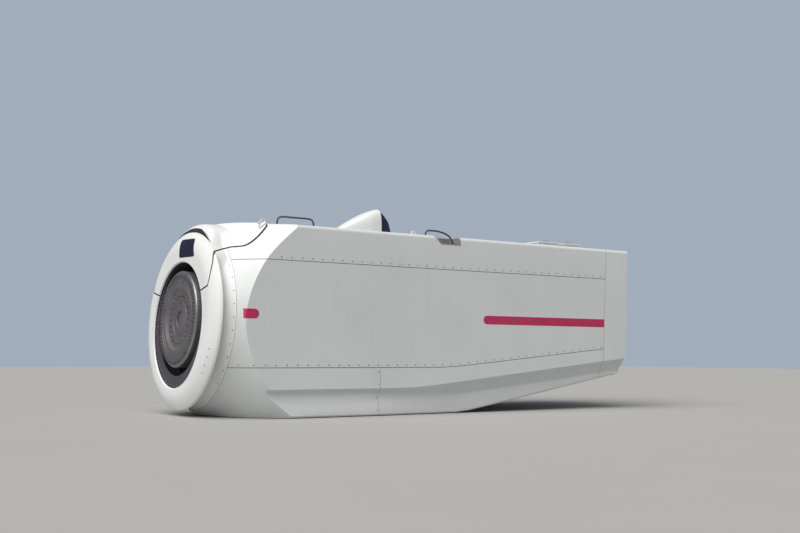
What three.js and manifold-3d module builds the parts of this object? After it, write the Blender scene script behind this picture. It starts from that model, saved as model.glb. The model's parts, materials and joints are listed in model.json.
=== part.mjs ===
import * as THREE from 'three';
import { mergeVertices } from 'three/addons/utils/BufferGeometryUtils.js';
import { LoftGeometry } from 'three/addons/geometries/LoftGeometry.js';
import Module from 'manifold-3d';

// Wind turbine nacelle in millimetres: nose towards -X, tail towards +X, underside on Z = 0.
// Lengths are measured from the widest line of the nose collar, and the whole is centred on the
// origin at the end.

// Driving dimensions of the housing
const BODY_LENGTH = 11500;
const BODY_WIDTH = 4200;
const BODY_HEIGHT = 4100;
const ROOF_CROWN = 70;
const ROOF_EDGE_RADIUS = 90;
const KEEL_EDGE_RADIUS = 50;
const SKIN = 80;
const JOINT_GAP = 0.3;
const GROOVE_WIDTH = 14;
const GROOVE_DEPTH = 12;

// Shaft axis, and the round collar that surrounds it at the nose
const SHAFT_TILT = THREE.MathUtils.degToRad(3);
const AXIS_HEIGHT = 2090;
const RIM = { height: 2060, radius: 1955, widen: 1.03, front: -150, flat: 1550, dome: 145, edge: 40 };
const RIM_BACK = { start: 50, end: 130, radius: 1720 };
const RIM_SEGMENTS = 60;
const OPENING = { height: 1960, radius: 1375, lead: 25 };
const NOSE_WALL = 340;

// Fairing: a cone that takes the box-shaped body down to the back of the collar, and eases further
// back. Above the shoulder angle it is filled up to the collar's edge, and a brow stands over the
// top of the collar with a dark gap under it. These angles are degrees from the top.
const FAIRING = { height: 2025, radius: 1640, slope: 0.86, settle: 700, segments: 60 };
const EASE = { at: 1000, width: 100, slope: 0.27 };
const SHOULDER = { radius: 1945, full: 45, end: 57 };
const BROW = { front: 70, radius: 2040, roof: 2190, run: 110, full: 20, end: 38 };
const BROW_GAP = { start: 40, end: 75, floor: 1880, reach: 2400, half: 40 };

// Seams between the housing panels
const UPPER_SEAM = 3320;
const LOWER_SEAM = 1055;
const LOWER_SEAM_RISE_START = 5700;
const LOWER_SEAM_SLOPE = 0.094;
const NOSE_SEAM = 355;
const NOSE_SEAM_HEIGHT = 1990;
const NOSE_SEAM_RAKE = Math.tan(SHAFT_TILT);
const TAIL_SEAM = 10640;
const TAIL_SEAM_HEIGHT = 2500;
const TAIL_RAKE = Math.tan(THREE.MathUtils.degToRad(3));
const LOWER_PANEL_SEAM = 3800;
const COVER = { front: 110, shelf: 3485, step: 500, high: 3605, sweep: 680, back: 1210, crown: 45 };
const COVER_SIDES = [[1380, 3490], [1505, 3266], [1545, 3112], [1572, 2900], [1550, 2745], [1150, 2650]];
const FLOOR_HALF_WIDTH = 1680;

// Undercut below the side ledge, and the keel that rises to the tail
const UNDERCUT_START = 800;
const UNDERCUT_RUN_IN = 120;
const UNDERCUT_FRONT = 130;
const UNDERCUT_REAR = 170;
const LEDGE_HEIGHT = 600;
const LEDGE_RISE_START = 4800;
const LEDGE_SLOPE = 0.104;
const LIP_HEIGHT = 420;
const LIP_RISE_START = 6000;
const KEEL_RISE_START = 6180;
const KEEL_RISE_BEND = 350;
const KEEL_SLOPE = 0.174;

// Tail end
const TAIL_HEEL_HEIGHT = 1320;
const TAIL_OPENING = { low: 1420, high: BODY_HEIGHT - 160, half: BODY_WIDTH / 2 - 150 };
const TAIL_GRILLE = { low: 2500, high: 3600, half: 1300, slats: 10, border: 40 };
const TAIL_PANEL_FRONT = 80;
const TAIL_PANEL_BACK = 30;

// Cooling inlet in the upper part of the collar, on the left of the middle and leaning inwards
const INLET = { x: -85, y: -370, low: 3415, high: 3855, corner: 70, frame: 45 };
const INLET_CORNERS = [[125, 3445], [-107, 3855], [-737, 3830], [-742, 3415]];
const INLET_GRILLE = { bars: 6, border: 25 };

// Roof fittings; y is negative on the left side
const VENT = { x0: 3000, x1: 4070, x2: 4350, y: -1350, half: 330, height: 560, wall: 45 };
const HATCHES = [
  { name: 'rear_hatch_front', x0: 8860, x1: 9535 },
  { name: 'rear_hatch_back', x0: 9700, x1: 10290 },
];
const HATCH = { y0: -1600, y1: -950, wall: 40, height: 40, depth: 110 };
const LID = { overhang: 20, clearance: 6, thickness: 35 };
const HINGE = { radius: 14, offset: 30, rise: 23, sides: 16, bracket: 30, arm: 40, armRadius: 26 };
const TRAY = { x0: 5250, slant: 200, x1: 6010, depth: 200, reach: 420, wall: 30 };
const TRAY_RAIL = { x0: 5150, x1: 5940, y: 1880, height: 125, radius: 20 };
const FRONT_RAIL = { x0: 1500, x1: 2400, y: 1500, height: 190, radius: 20 };
const FRONT_HATCH = { x0: 1600, x1: 2350, half: 420, height: 45 };
const LUG_PAD = { length: 300, width: 160, height: 24 };
const LUG = { thickness: 40, foot: 90, head: 46, eye: 24, rise: 32 };
const LUG_PLACES = [
  { name: 'front_left', x: 1150, y: -1500 },
  { name: 'front_right', x: 1150, y: 1500 },
  { name: 'rear_left', x: 4900, y: -1750 },
  { name: 'rear_right', x: 4900, y: 1750 },
];

// Yaw ring, bedplate and drive train; positions along the shaft start at the widest line of the collar
const YAW_RING = { x: 3200, outer: 1300, inner: 1040, height: 260 };
const MANHOLE_RADIUS = 790;
const BEDPLATE = { x0: 700, x1: 5200, half: 900, saddle: 1290, waist: 950, rear: 700 };
const BEARING = { start: 900, end: 1500, radius: 760, half: 820, running: 8 };
const FLANGE = { front: -140, back: 140, web: -20, radius: 1055, rim: 160, recess: 640, bore: 190 };
const SHAFT = { hub: 560, radius: 430, shoulder: 520, length: 2700 };
const SEAL = { front: -95, thickness: 40, inner: 1240 };

// Limits of the boxes that divide the housing
const FRONT = -500;
const BACK = 12800;
const SIDE = 3000;
const BELOW = -200;
const ABOVE = BODY_HEIGHT + 400;

const wasm = await Module();
wasm.setup();

const materials = {
  shell: { color: 0xdfe3e5, roughness: 0.42, metalness: 0.0 },
  cover: { color: 0xeceded, roughness: 0.4, metalness: 0.0 },
  dark: { color: 0x2c2a3c, roughness: 0.7, metalness: 0.1 },
  tray: { color: 0x9a979c, roughness: 0.6, metalness: 0.2 },
  steel: { color: 0x6d6a70, roughness: 0.45, metalness: 0.7 },
  casting: { color: 0x57565c, roughness: 0.7, metalness: 0.5 },
  rail: { color: 0x4a4a50, roughness: 0.5, metalness: 0.6 },
  seal: { color: 0x4b4853, roughness: 0.85, metalness: 0.0 },
};

const nacelle = new THREE.Group();
nacelle.name = 'nacelle';

// Closed solids from three.js geometries, and back to a mesh

function solid(geometry) {
  const bare = geometry.index ? geometry.toNonIndexed() : geometry.clone();
  bare.deleteAttribute('normal');
  bare.deleteAttribute('uv');
  const merged = mergeVertices(bare, 1e-3);
  const corners = Array.from(merged.index.array);
  const faces = [];
  for (let i = 0; i < corners.length; i += 3) {
    const [a, b, c] = corners.slice(i, i + 3);
    if (a !== b && b !== c && c !== a) faces.push(a, b, c);
  }
  const fromFaces = (order) => new wasm.Manifold(new wasm.Mesh({
    numProp: 3,
    vertProperties: new Float32Array(merged.attributes.position.array),
    triVerts: new Uint32Array(order),
  }));
  const shape = fromFaces(faces);
  return shape.volume() > 0 ? shape : fromFaces(faces.reverse());
}

function addPiece(name, shape, finish) {
  const { vertProperties, triVerts } = shape.getMesh();
  const geometry = new THREE.BufferGeometry();
  geometry.setAttribute('position', new THREE.BufferAttribute(new Float32Array(vertProperties), 3));
  geometry.setIndex(new THREE.BufferAttribute(new Uint32Array(triVerts), 1));
  geometry.computeVertexNormals();
  const mesh = new THREE.Mesh(geometry, new THREE.MeshStandardMaterial(finish));
  mesh.name = name;
  nacelle.add(mesh);
}

// Basic forms

function box(x0, x1, y0, y1, z0, z1) {
  const geometry = new THREE.BoxGeometry(x1 - x0, y1 - y0, z1 - z0);
  geometry.translate((x0 + x1) / 2, (y0 + y1) / 2, (z0 + z1) / 2);
  return solid(geometry);
}

function outlineShape(outline) {
  return Array.isArray(outline)
    ? new THREE.Shape(outline.map(([u, v]) => new THREE.Vector2(u, v)))
    : outline;
}

// An outline drawn in X and Z, as points or as a shape, carried across the width from y0 to y1
function plateXZ(outline, y0, y1, curveSegments = 8) {
  const geometry = new THREE.ExtrudeGeometry(outlineShape(outline), {
    depth: y1 - y0,
    bevelEnabled: false,
    curveSegments,
  });
  geometry.rotateX(Math.PI / 2);
  geometry.translate(0, y1, 0);
  return solid(geometry);
}

// An outline drawn in Y and Z, carried along the length from x0 to x1
function plateYZ(outline, x0, x1, curveSegments = 8) {
  const geometry = new THREE.ExtrudeGeometry(outlineShape(outline), {
    depth: x1 - x0,
    bevelEnabled: false,
    curveSegments,
  });
  geometry.rotateX(Math.PI / 2);
  geometry.rotateZ(Math.PI / 2);
  geometry.translate(x0, 0, 0);
  return solid(geometry);
}

// A profile of [distance along the axis, radius], turned about an axis that runs towards the tail,
// and widened across it
function turned(profile, segments, height, tilt, widen = 1) {
  const geometry = new THREE.LatheGeometry(profile.map(([s, r]) => new THREE.Vector2(r, s)), segments);
  geometry.rotateZ(-Math.PI / 2);
  geometry.scale(1, widen, 1);
  geometry.rotateY(tilt);
  geometry.translate(0, 0, height);
  return solid(geometry);
}

function onShaft(profile, segments = RIM_SEGMENTS) {
  return turned(profile, segments, AXIS_HEIGHT, SHAFT_TILT);
}

function onOpening(profile) {
  return turned(profile, RIM_SEGMENTS, OPENING.height, SHAFT_TILT);
}

function ringOnShaft(s0, s1, inner, outer, segments) {
  return onShaft([[s0, inner], [s0, outer], [s1, outer], [s1, inner], [s0, inner]], segments);
}

function discOnShaft(s0, s1, radius, segments) {
  return onShaft([[s0, 0], [s0, radius], [s1, radius], [s1, 0]], segments);
}

function upright(x, y, z0, z1, radius, segments) {
  const geometry = new THREE.CylinderGeometry(radius, radius, z1 - z0, segments);
  geometry.rotateX(Math.PI / 2);
  geometry.translate(x, y, (z0 + z1) / 2);
  return solid(geometry);
}

// A round rod along X
function rodX(x0, x1, y, z, radius, sides) {
  const geometry = new THREE.CylinderGeometry(radius, radius, x1 - x0, sides);
  geometry.rotateZ(Math.PI / 2);
  geometry.translate((x0 + x1) / 2, y, z);
  return solid(geometry);
}

// A bent tube in the plane of one Y, through the given [x, z] points
function bentTube(points, y, radius, steps) {
  const sides = 6;
  const section = new THREE.Shape();
  for (let i = 0; i < sides; i += 1) {
    const angle = ((i + 0.5) / sides) * 2 * Math.PI;
    const corner = [radius * Math.cos(angle), radius * Math.sin(angle)];
    if (i === 0) section.moveTo(...corner);
    else section.lineTo(...corner);
  }
  const places = points.map(([x, z]) => new THREE.Vector3(x, y, z));
  const path = new THREE.CatmullRomCurve3(places, false, 'centripetal');
  return solid(new THREE.ExtrudeGeometry(section, { steps, bevelEnabled: false, extrudePath: path }));
}

// The same piece on each side of the nacelle
function onBothSides(make) {
  make('left', -1);
  make('right', 1);
}

// A box given by its inner and outer distance from the middle plane, on the side named by its sign
function sideBox(x0, x1, inner, outer, sign, z0, z1) {
  return sign < 0 ? box(x0, x1, -outer, -inner, z0, z1) : box(x0, x1, inner, outer, z0, z1);
}

// Form of the body: level, then rising in a straight slope after a short bend
function rise(x, start, slope, bend) {
  const run = x - start;
  if (run <= -bend) return 0;
  if (run >= bend) return slope * run;
  return (slope * (run + bend) ** 2) / (4 * bend);
}

function lowerSeamAt(x) {
  return LOWER_SEAM + rise(x, LOWER_SEAM_RISE_START, LOWER_SEAM_SLOPE, 500);
}

function noseSeamAt(z) {
  return NOSE_SEAM + (z - NOSE_SEAM_HEIGHT) * NOSE_SEAM_RAKE;
}

function tailSeamAt(z) {
  return TAIL_SEAM + (z - TAIL_SEAM_HEIGHT) * TAIL_RAKE;
}

// Distance along X of the raked tail face at height z
function tailFaceAt(z) {
  return BODY_LENGTH - (BODY_HEIGHT - z) * TAIL_RAKE;
}

// Height of the crowned roof, and of its highest line
function roofAt(y, crown = ROOF_CROWN) {
  return BODY_HEIGHT + crown * (1 - (Math.abs(y) / (BODY_WIDTH / 2 - ROOF_EDGE_RADIUS)) ** 2);
}

// One cross-section of the body at x, moved inwards by inset; the roof is higher under the nose cover
function bodySection(x, inset) {
  const half = BODY_WIDTH / 2 - inset;
  const top = BODY_HEIGHT - inset;
  const crown = ROOF_CROWN + (x > COVER.back ? 0 : COVER.crown);
  const edge = Math.max(ROOF_EDGE_RADIUS - inset, 8);
  const edgeCut = 0.29 * edge;
  const keelEdge = Math.max(KEEL_EDGE_RADIUS - inset, 8);
  const undercut = THREE.MathUtils.smoothstep(x, UNDERCUT_START, UNDERCUT_START + UNDERCUT_RUN_IN);
  const rear = THREE.MathUtils.smoothstep(x, 3600, 6000);
  const ledge = LEDGE_HEIGHT + rise(x, LEDGE_RISE_START, LEDGE_SLOPE, 700) + inset / 2;
  const lip = LIP_HEIGHT + rise(x, LIP_RISE_START, LEDGE_SLOPE, 500);
  const keel = rise(x, KEEL_RISE_START, KEEL_SLOPE, KEEL_RISE_BEND) + inset;
  const lipInset = undercut * THREE.MathUtils.lerp(UNDERCUT_FRONT, UNDERCUT_REAR, rear);
  const keelInset = undercut * THREE.MathUtils.lerp(0.3 * UNDERCUT_FRONT, UNDERCUT_REAR, rear);
  const foot = Math.min(keel, lip - 2 * keelEdge);
  const right = [
    [0, top + crown],
    [half * 0.5, top + crown * 0.75],
    [half - edge, top],
    [half - edgeCut, top - edgeCut],
    [half, top - edge],
    [half, ledge],
    [half - lipInset, lip],
    [half - keelInset, foot + keelEdge],
    [half - keelInset - keelEdge, foot],
  ];
  const left = right.slice(1).reverse().map(([y, z]) => [-y, z]);
  return [...right, ...left].reverse().map(([y, z]) => new THREE.Vector3(x, y, z));
}

// A corner of the given width between a level line and a rising one
function softCorner({ at, width, slope }, x) {
  return slope * width * Math.log(1 + Math.exp(Math.min((x - at) / width, 300)));
}

// Radius of the fairing at a place behind the collar and an angle about the shaft
function fairingRadius(x, angle) {
  const away = Math.abs(THREE.MathUtils.radToDeg(angle) - 90);
  const filled = 1 - THREE.MathUtils.smoothstep(away, SHOULDER.full, SHOULDER.end);
  const cone = FAIRING.radius + FAIRING.slope * x - softCorner(EASE, x);
  const base = cone + filled * Math.max(SHOULDER.radius - cone, 0);
  if (x < BROW.front) return base;
  const share = 1 - THREE.MathUtils.smoothstep(away, BROW.full, BROW.end);
  const brow = BROW.roof - (BROW.roof - BROW.radius) * Math.exp((BROW.front - x) / BROW.run);
  return base + share * Math.max(brow - base, 0);
}

// One ring of the fairing: it leans with the shaft at the collar, and stands upright further back
function fairingRing(x, inset) {
  const settled = THREE.MathUtils.smoothstep(x, 0, FAIRING.settle);
  const height = THREE.MathUtils.lerp(RIM.height - x * Math.tan(SHAFT_TILT), FAIRING.height, settled);
  const lean = Math.tan(SHAFT_TILT) * (1 - settled);
  const widen = THREE.MathUtils.lerp(RIM.widen, 1, settled);
  const ring = [];
  for (let i = 0; i < FAIRING.segments; i += 1) {
    const angle = (i / FAIRING.segments) * 2 * Math.PI;
    const radius = fairingRadius(x, angle) - inset;
    const up = radius * Math.sin(angle);
    ring.push(new THREE.Vector3(x + inset + up * lean, widen * radius * Math.cos(angle), height + up));
  }
  return ring;
}

// The dark gap under the brow: a slot behind the collar's edge
function browGap() {
  const steps = 10;
  const { start, end, floor, reach, half } = BROW_GAP;
  const rings = [];
  for (let i = 0; i <= steps; i += 1) {
    const angle = THREE.MathUtils.degToRad(90 - half + (2 * half * i) / steps);
    const corners = [[start, floor], [end, floor], [end, reach], [start, reach]];
    rings.push(corners.map(([s, radius]) => {
      const point = new THREE.Vector3(s, radius * Math.cos(angle), radius * Math.sin(angle));
      point.applyAxisAngle(new THREE.Vector3(0, 1, 0), SHAFT_TILT);
      return point.add(new THREE.Vector3(0, 0, RIM.height));
    }));
  }
  return solid(new LoftGeometry(rings, { capStart: true, capEnd: true }));
}

// The whole body without the collar, moved inwards by inset
function bodyForm(inset) {
  const stations = [-400, UNDERCUT_START];
  stations.push(UNDERCUT_START + UNDERCUT_RUN_IN / 2, UNDERCUT_START + UNDERCUT_RUN_IN);
  stations.push(COVER.back, COVER.back + 15, 2400, 3600, 4200, 4800, 5400);
  for (let x = 5700; x <= 7200; x += 300) stations.push(x);
  stations.push(8600, 10000, 11100, 11900);
  const loft = solid(new LoftGeometry(
    stations.map((x) => bodySection(x, inset)),
    { capStart: true, capEnd: true },
  ));
  const runs = [0, BROW.front - 1, BROW.front, 150, 280, 500, 850, 1150, 1800, BODY_LENGTH + 900];
  const fairing = solid(new LoftGeometry(
    runs.map((run) => fairingRing(run, inset)),
    { capStart: true, capEnd: true },
  ));
  const heel = tailFaceAt(TAIL_HEEL_HEIGHT) - inset;
  const tailOutline = [
    [-400, -50],
    [heel - 194, -50],
    [heel - 194, 890],
    [heel - 104, 905],
    [heel - 64, 1190],
    [heel, TAIL_HEEL_HEIGHT],
    [tailFaceAt(ABOVE) - inset, ABOVE],
    [-400, ABOVE],
  ];
  return loft.intersect(fairing).intersect(plateXZ(tailOutline, -BODY_WIDTH, BODY_WIDTH));
}

// The collar about the shaft: a thick disc with a domed face, and the way through it, which lies
// lower than the middle of the disc
function collar(inset) {
  const front = RIM.front + inset;
  const outer = RIM.radius - inset;
  const profile = [[front, 0], [front, RIM.flat]];
  const steps = 3;
  for (let i = 1; i <= steps; i += 1) {
    const t = i / steps;
    profile.push([front + RIM.dome * t ** 2.2, THREE.MathUtils.lerp(RIM.flat, outer - 12, t)]);
  }
  profile.push([front + RIM.dome + RIM.edge, outer], [RIM_BACK.start, outer]);
  profile.push([RIM_BACK.end, RIM_BACK.radius], [RIM_BACK.end, 0]);
  return turned(profile, RIM_SEGMENTS, RIM.height, SHAFT_TILT, RIM.widen);
}

function collarOpening() {
  const { radius, lead } = OPENING;
  return onOpening([
    [-500, 0],
    [-500, radius + lead],
    [RIM.front, radius + lead],
    [RIM.front + lead, radius],
    [NOSE_WALL + 860, radius],
    [NOSE_WALL + 860, 0],
  ]);
}

// Regions of the housing: each takes the distance by which it is grown on every side

const aboveUpperSeam = (grow) => box(FRONT, BACK, -SIDE, SIDE, UPPER_SEAM - grow, ABOVE);
const rearLowerPanels = (grow) => box(LOWER_PANEL_SEAM - grow, BACK, -SIDE, SIDE, BELOW, ABOVE);
const floorZone = (grow) => {
  const half = FLOOR_HALF_WIDTH + grow;
  return box(FRONT, BACK, -half, half, BELOW, LOWER_SEAM);
};
const leftHalf = (grow) => box(FRONT, BACK, -SIDE, grow, BELOW, ABOVE);
const rampZone = (grow) => box(KEEL_RISE_START - KEEL_RISE_BEND - grow, BACK, -SIDE, SIDE, BELOW, ABOVE);

const belowLowerSeam = (grow) => {
  const seam = [];
  for (let x = BACK; x >= LOWER_SEAM_RISE_START - 700; x -= 500) seam.push([x, lowerSeamAt(x) + grow]);
  return plateXZ([[FRONT, BELOW], [BACK, BELOW], ...seam, [FRONT, LOWER_SEAM + grow]], -SIDE, SIDE);
};

const beforeNoseSeam = (grow) => plateXZ([
  [FRONT, BELOW],
  [noseSeamAt(BELOW) + grow, BELOW],
  [noseSeamAt(ABOVE) + grow, ABOVE],
  [FRONT, ABOVE],
], -SIDE, SIDE);

const behindTailSeam = (grow) => plateXZ([
  [tailSeamAt(BELOW) - grow, BELOW],
  [BACK, BELOW],
  [BACK, ABOVE],
  [tailSeamAt(ABOVE) - grow, ABOVE],
], -SIDE, SIDE);

// The top cover is a saddle over the nose, whose seam sweeps up to the roof, joined to the upper
// part of the collar
const topCover = (grow) => {
  const sweep = new THREE.QuadraticBezierCurve(
    new THREE.Vector2(COVER.sweep, COVER.high + 15),
    new THREE.Vector2(COVER.sweep + 150, COVER.high + 45),
    new THREE.Vector2(COVER.back, BODY_HEIGHT - 10),
  );
  const steps = 6;
  const edge = sweep.getPoints(steps).map((point, i) => {
    const along = sweep.getTangent(i / steps);
    return [point.x + grow * along.y, point.y - grow * along.x];
  });
  const saddle = plateXZ([
    [FRONT, COVER.shelf - grow],
    [COVER.front, COVER.shelf - grow],
    [COVER.step, COVER.high - grow],
    ...edge,
    [COVER.back + grow, ABOVE],
    [FRONT, ABOVE],
  ], -SIDE, SIDE);
  const lowEnd = COVER_SIDES.length - 2;
  const right = COVER_SIDES.map(([y, z], i) => [y + grow, i < lowEnd ? z : z - grow]).reverse();
  const left = right.map(([y, z]) => [-y, z]).reverse();
  return saddle.add(plateYZ([...right, ...left], FRONT, COVER.front + grow));
};

// A thin slab on each side of a region's boundary
function seamSlab(region) {
  return region(GROOVE_WIDTH / 2).subtract(region(-GROOVE_WIDTH / 2));
}

// Openings through the housing

// The inlet's four sides with cut corners, made smaller on every side by shrink
function inletOutline(shrink) {
  const middle = (INLET.low + INLET.high) / 2;
  const corners = INLET_CORNERS.map(([y, z]) => new THREE.Vector2(
    y - Math.sign(y - INLET.y) * shrink,
    z - Math.sign(z - middle) * shrink,
  ));
  return corners.flatMap((corner, i) => [corners.at(i - 1), corners[(i + 1) % corners.length]].map((next) => {
    const cut = corner.clone().lerp(next, INLET.corner / corner.distanceTo(next));
    return [cut.x, cut.y];
  }));
}

function trayOutline(shrink) {
  const low = BODY_HEIGHT - TRAY.depth + shrink;
  const slantShrink = shrink * 1.4;
  return [
    [TRAY.x0 + slantShrink, BODY_HEIGHT],
    [TRAY.x0 + TRAY.slant + slantShrink * 0.65, low],
    [TRAY.x1 - shrink, low],
    [TRAY.x1 - shrink, ABOVE],
    [TRAY.x0 + slantShrink, ABOVE],
  ];
}

function sidePlate(outline, inner, outer, sign) {
  return sign < 0 ? plateXZ(outline, -outer, -inner) : plateXZ(outline, inner, outer);
}

const openings = [
  collarOpening(),
  browGap(),
  plateYZ(inletOutline(0), INLET.x - 100, NOSE_WALL + 160),
  upright(YAW_RING.x, 0, BELOW, SKIN + 100, YAW_RING.outer + JOINT_GAP, 60),
];
for (const { x0, x1 } of HATCHES) {
  openings.push(box(x0, x1, HATCH.y0, HATCH.y1, BODY_HEIGHT - 300, ABOVE));
}
onBothSides((name, sign) => {
  openings.push(sidePlate(trayOutline(0), BODY_WIDTH / 2 - TRAY.reach, BODY_WIDTH, sign));
});

// The hollow shell with its seam grooves and openings
const cavity = bodyForm(SKIN).subtract(box(FRONT, NOSE_WALL, -SIDE, SIDE, BELOW, ABOVE));
const grooves = seamSlab(aboveUpperSeam)
  .add(seamSlab(belowLowerSeam))
  .subtract(beforeNoseSeam(0))
  .subtract(behindTailSeam(0))
  .add(seamSlab(behindTailSeam))
  .add(seamSlab(rearLowerPanels).intersect(belowLowerSeam(0)))
  .add(seamSlab(beforeNoseSeam).subtract(topCover(0)))
  .add(seamSlab(topCover))
  .subtract(bodyForm(GROOVE_DEPTH).add(collar(GROOVE_DEPTH)));
let shell = bodyForm(0)
  .add(collar(0))
  .add(plateYZ(inletOutline(-INLET.frame), INLET.x, RIM_BACK.start))
  .subtract(cavity)
  .intersect(box(FRONT, BACK, -SIDE, SIDE, 0, ABOVE))
  .subtract(grooves);
for (const opening of openings) shell = shell.subtract(opening);

// Panels: the shell is shared out along its seams, with a joint gap between neighbours
const HALF_GAP = JOINT_GAP / 2;
const inside = (shape, region) => shape.intersect(region(-HALF_GAP));
const outside = (shape, region) => shape.subtract(region(HALF_GAP));

addPiece('nose_top_cover', inside(shell, topCover), materials.cover);
const uncovered = outside(shell, topCover);

const nose = inside(uncovered, beforeNoseSeam);
const noseSides = outside(nose, belowLowerSeam);
addPiece('nose_left', inside(noseSides, leftHalf), materials.shell);
addPiece('nose_right', outside(noseSides, leftHalf), materials.shell);
addPiece('nose_lower', inside(nose, belowLowerSeam), materials.shell);

const body = outside(outside(uncovered, beforeNoseSeam), behindTailSeam);
addPiece('roof_shell', inside(body, aboveUpperSeam), materials.shell);
const walls = outside(outside(body, aboveUpperSeam), belowLowerSeam);
addPiece('side_left', inside(walls, leftHalf), materials.shell);
addPiece('side_right', outside(walls, leftHalf), materials.shell);

const lowerBody = inside(body, belowLowerSeam);
const lowerSides = outside(lowerBody, floorZone);
for (const [end, share] of [['front', outside], ['rear', inside]]) {
  const panels = share(lowerSides, rearLowerPanels);
  addPiece(`lower_${end}_left`, inside(panels, leftHalf), materials.shell);
  addPiece(`lower_${end}_right`, outside(panels, leftHalf), materials.shell);
}
const floor = inside(lowerBody, floorZone);
addPiece('floor_front', outside(floor, rampZone), materials.shell);
addPiece('floor_ramp', inside(floor, rampZone), materials.shell);

// Tail: a hood closed by a recessed panel with an air outlet grille

function tailSheet({ low, high, half }, shrink, front, back) {
  const z0 = low + shrink;
  const z1 = high - shrink;
  return plateXZ([
    [tailFaceAt(z0) - front, z0],
    [tailFaceAt(z0) - back, z0],
    [tailFaceAt(z1) - back, z1],
    [tailFaceAt(z1) - front, z1],
  ], -half + shrink, half - shrink);
}

const tailHood = inside(uncovered, behindTailSeam);
addPiece('tail_frame', tailHood.subtract(tailSheet(TAIL_OPENING, 0, 300, -400)), materials.shell);
const tailPanel = tailSheet(TAIL_OPENING, JOINT_GAP, TAIL_PANEL_FRONT, TAIL_PANEL_BACK);
addPiece('tail_panel', tailPanel.subtract(tailSheet(TAIL_GRILLE, 0, 200, -200)), materials.shell);
let tailGrille = tailSheet(TAIL_GRILLE, JOINT_GAP, TAIL_PANEL_FRONT - 6, TAIL_PANEL_BACK + 6)
  .subtract(tailSheet(TAIL_GRILLE, TAIL_GRILLE.border, 200, -200));
const slatPitch = (TAIL_GRILLE.high - TAIL_GRILLE.low - 2 * TAIL_GRILLE.border) / (TAIL_GRILLE.slats + 1);
for (let i = 1; i <= TAIL_GRILLE.slats; i += 1) {
  const z = TAIL_GRILLE.low + TAIL_GRILLE.border + i * slatPitch;
  const slat = { low: z - 12, high: z + 12, half: TAIL_GRILLE.half - 20 };
  tailGrille = tailGrille.add(tailSheet(slat, 0, TAIL_PANEL_FRONT - 10, TAIL_PANEL_BACK + 10));
}
addPiece('tail_grille', tailGrille, materials.dark);

// Cooling inlet grille, set back in its frame
const inletBack = INLET.x + 30;
let inletGrille = plateYZ(inletOutline(JOINT_GAP), inletBack, inletBack + 40)
  .subtract(plateYZ(inletOutline(INLET_GRILLE.border), inletBack - 90, inletBack + 110));
for (let i = 1; i <= INLET_GRILLE.bars; i += 1) {
  const z = INLET.low + (i * (INLET.high - INLET.low)) / (INLET_GRILLE.bars + 1);
  const bar = box(inletBack + 4, inletBack + 36, -SIDE, SIDE, z - 8, z + 8);
  inletGrille = inletGrille.add(bar.intersect(plateYZ(inletOutline(15), FRONT, NOSE_WALL)));
}
addPiece('inlet_grille', inletGrille, materials.dark);

// Roof vent: a streamlined hood, open at the back behind a sloping grille
const roof = bodyForm(-JOINT_GAP);

function ventSection(x, outlineAt, shrink) {
  const t = (outlineAt - VENT.x0) / (VENT.x1 - VENT.x0);
  const height = VENT.height * Math.sin(t * Math.PI * 0.5) ** 1.2 - shrink;
  const half = VENT.half * (0.25 + 0.75 * Math.sqrt(Math.min(t * 1.3, 1))) - shrink;
  const sill = BODY_HEIGHT + 20;
  const arc = 10;
  const points = [];
  for (let i = 0; i <= arc; i += 1) {
    const angle = (i / arc) * Math.PI;
    const up = Math.max(height, 6) * Math.sin(angle) ** 0.8;
    points.push(new THREE.Vector3(x, VENT.y + half * Math.cos(angle), sill + up));
  }
  points.push(new THREE.Vector3(x, VENT.y - half, sill - 60));
  points.push(new THREE.Vector3(x, VENT.y + half, sill - 60));
  return points;
}

function ventPrism(x0, x1, shrink) {
  return solid(new LoftGeometry(
    [ventSection(x0, VENT.x1, shrink), ventSection(x1, VENT.x1, shrink)],
    { capStart: true, capEnd: true },
  ));
}

const ventHood = solid(new LoftGeometry(
  [0, 0.06, 0.16, 0.3, 0.48, 0.7, 0.88, 1].map((t) => {
    const x = THREE.MathUtils.lerp(VENT.x0, VENT.x1, t);
    return ventSection(x, x, 0);
  }),
  { capStart: true, capEnd: true },
));
const ventMouth = ventPrism(VENT.x1 - 180, VENT.x1 + 20, VENT.wall);
addPiece('vent_hood', ventHood.subtract(ventMouth).subtract(roof), materials.cover);
const ventSlope = plateXZ([
  [VENT.x1 - 60, BODY_HEIGHT - 40],
  [VENT.x2 + 60, BODY_HEIGHT - 40],
  [VENT.x2, BODY_HEIGHT + 60],
  [VENT.x2 - 60, BODY_HEIGHT + 0.5 * VENT.height],
  [VENT.x1 + 30, BODY_HEIGHT + VENT.height],
  [VENT.x1 - 60, BODY_HEIGHT + VENT.height],
], VENT.y - VENT.half, VENT.y + VENT.half);
const ventOutlet = ventPrism(VENT.x1 - 40, VENT.x2 + 40, VENT.wall + JOINT_GAP);
addPiece('vent_grille', ventOutlet.intersect(ventSlope).subtract(roof), materials.dark);

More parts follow.
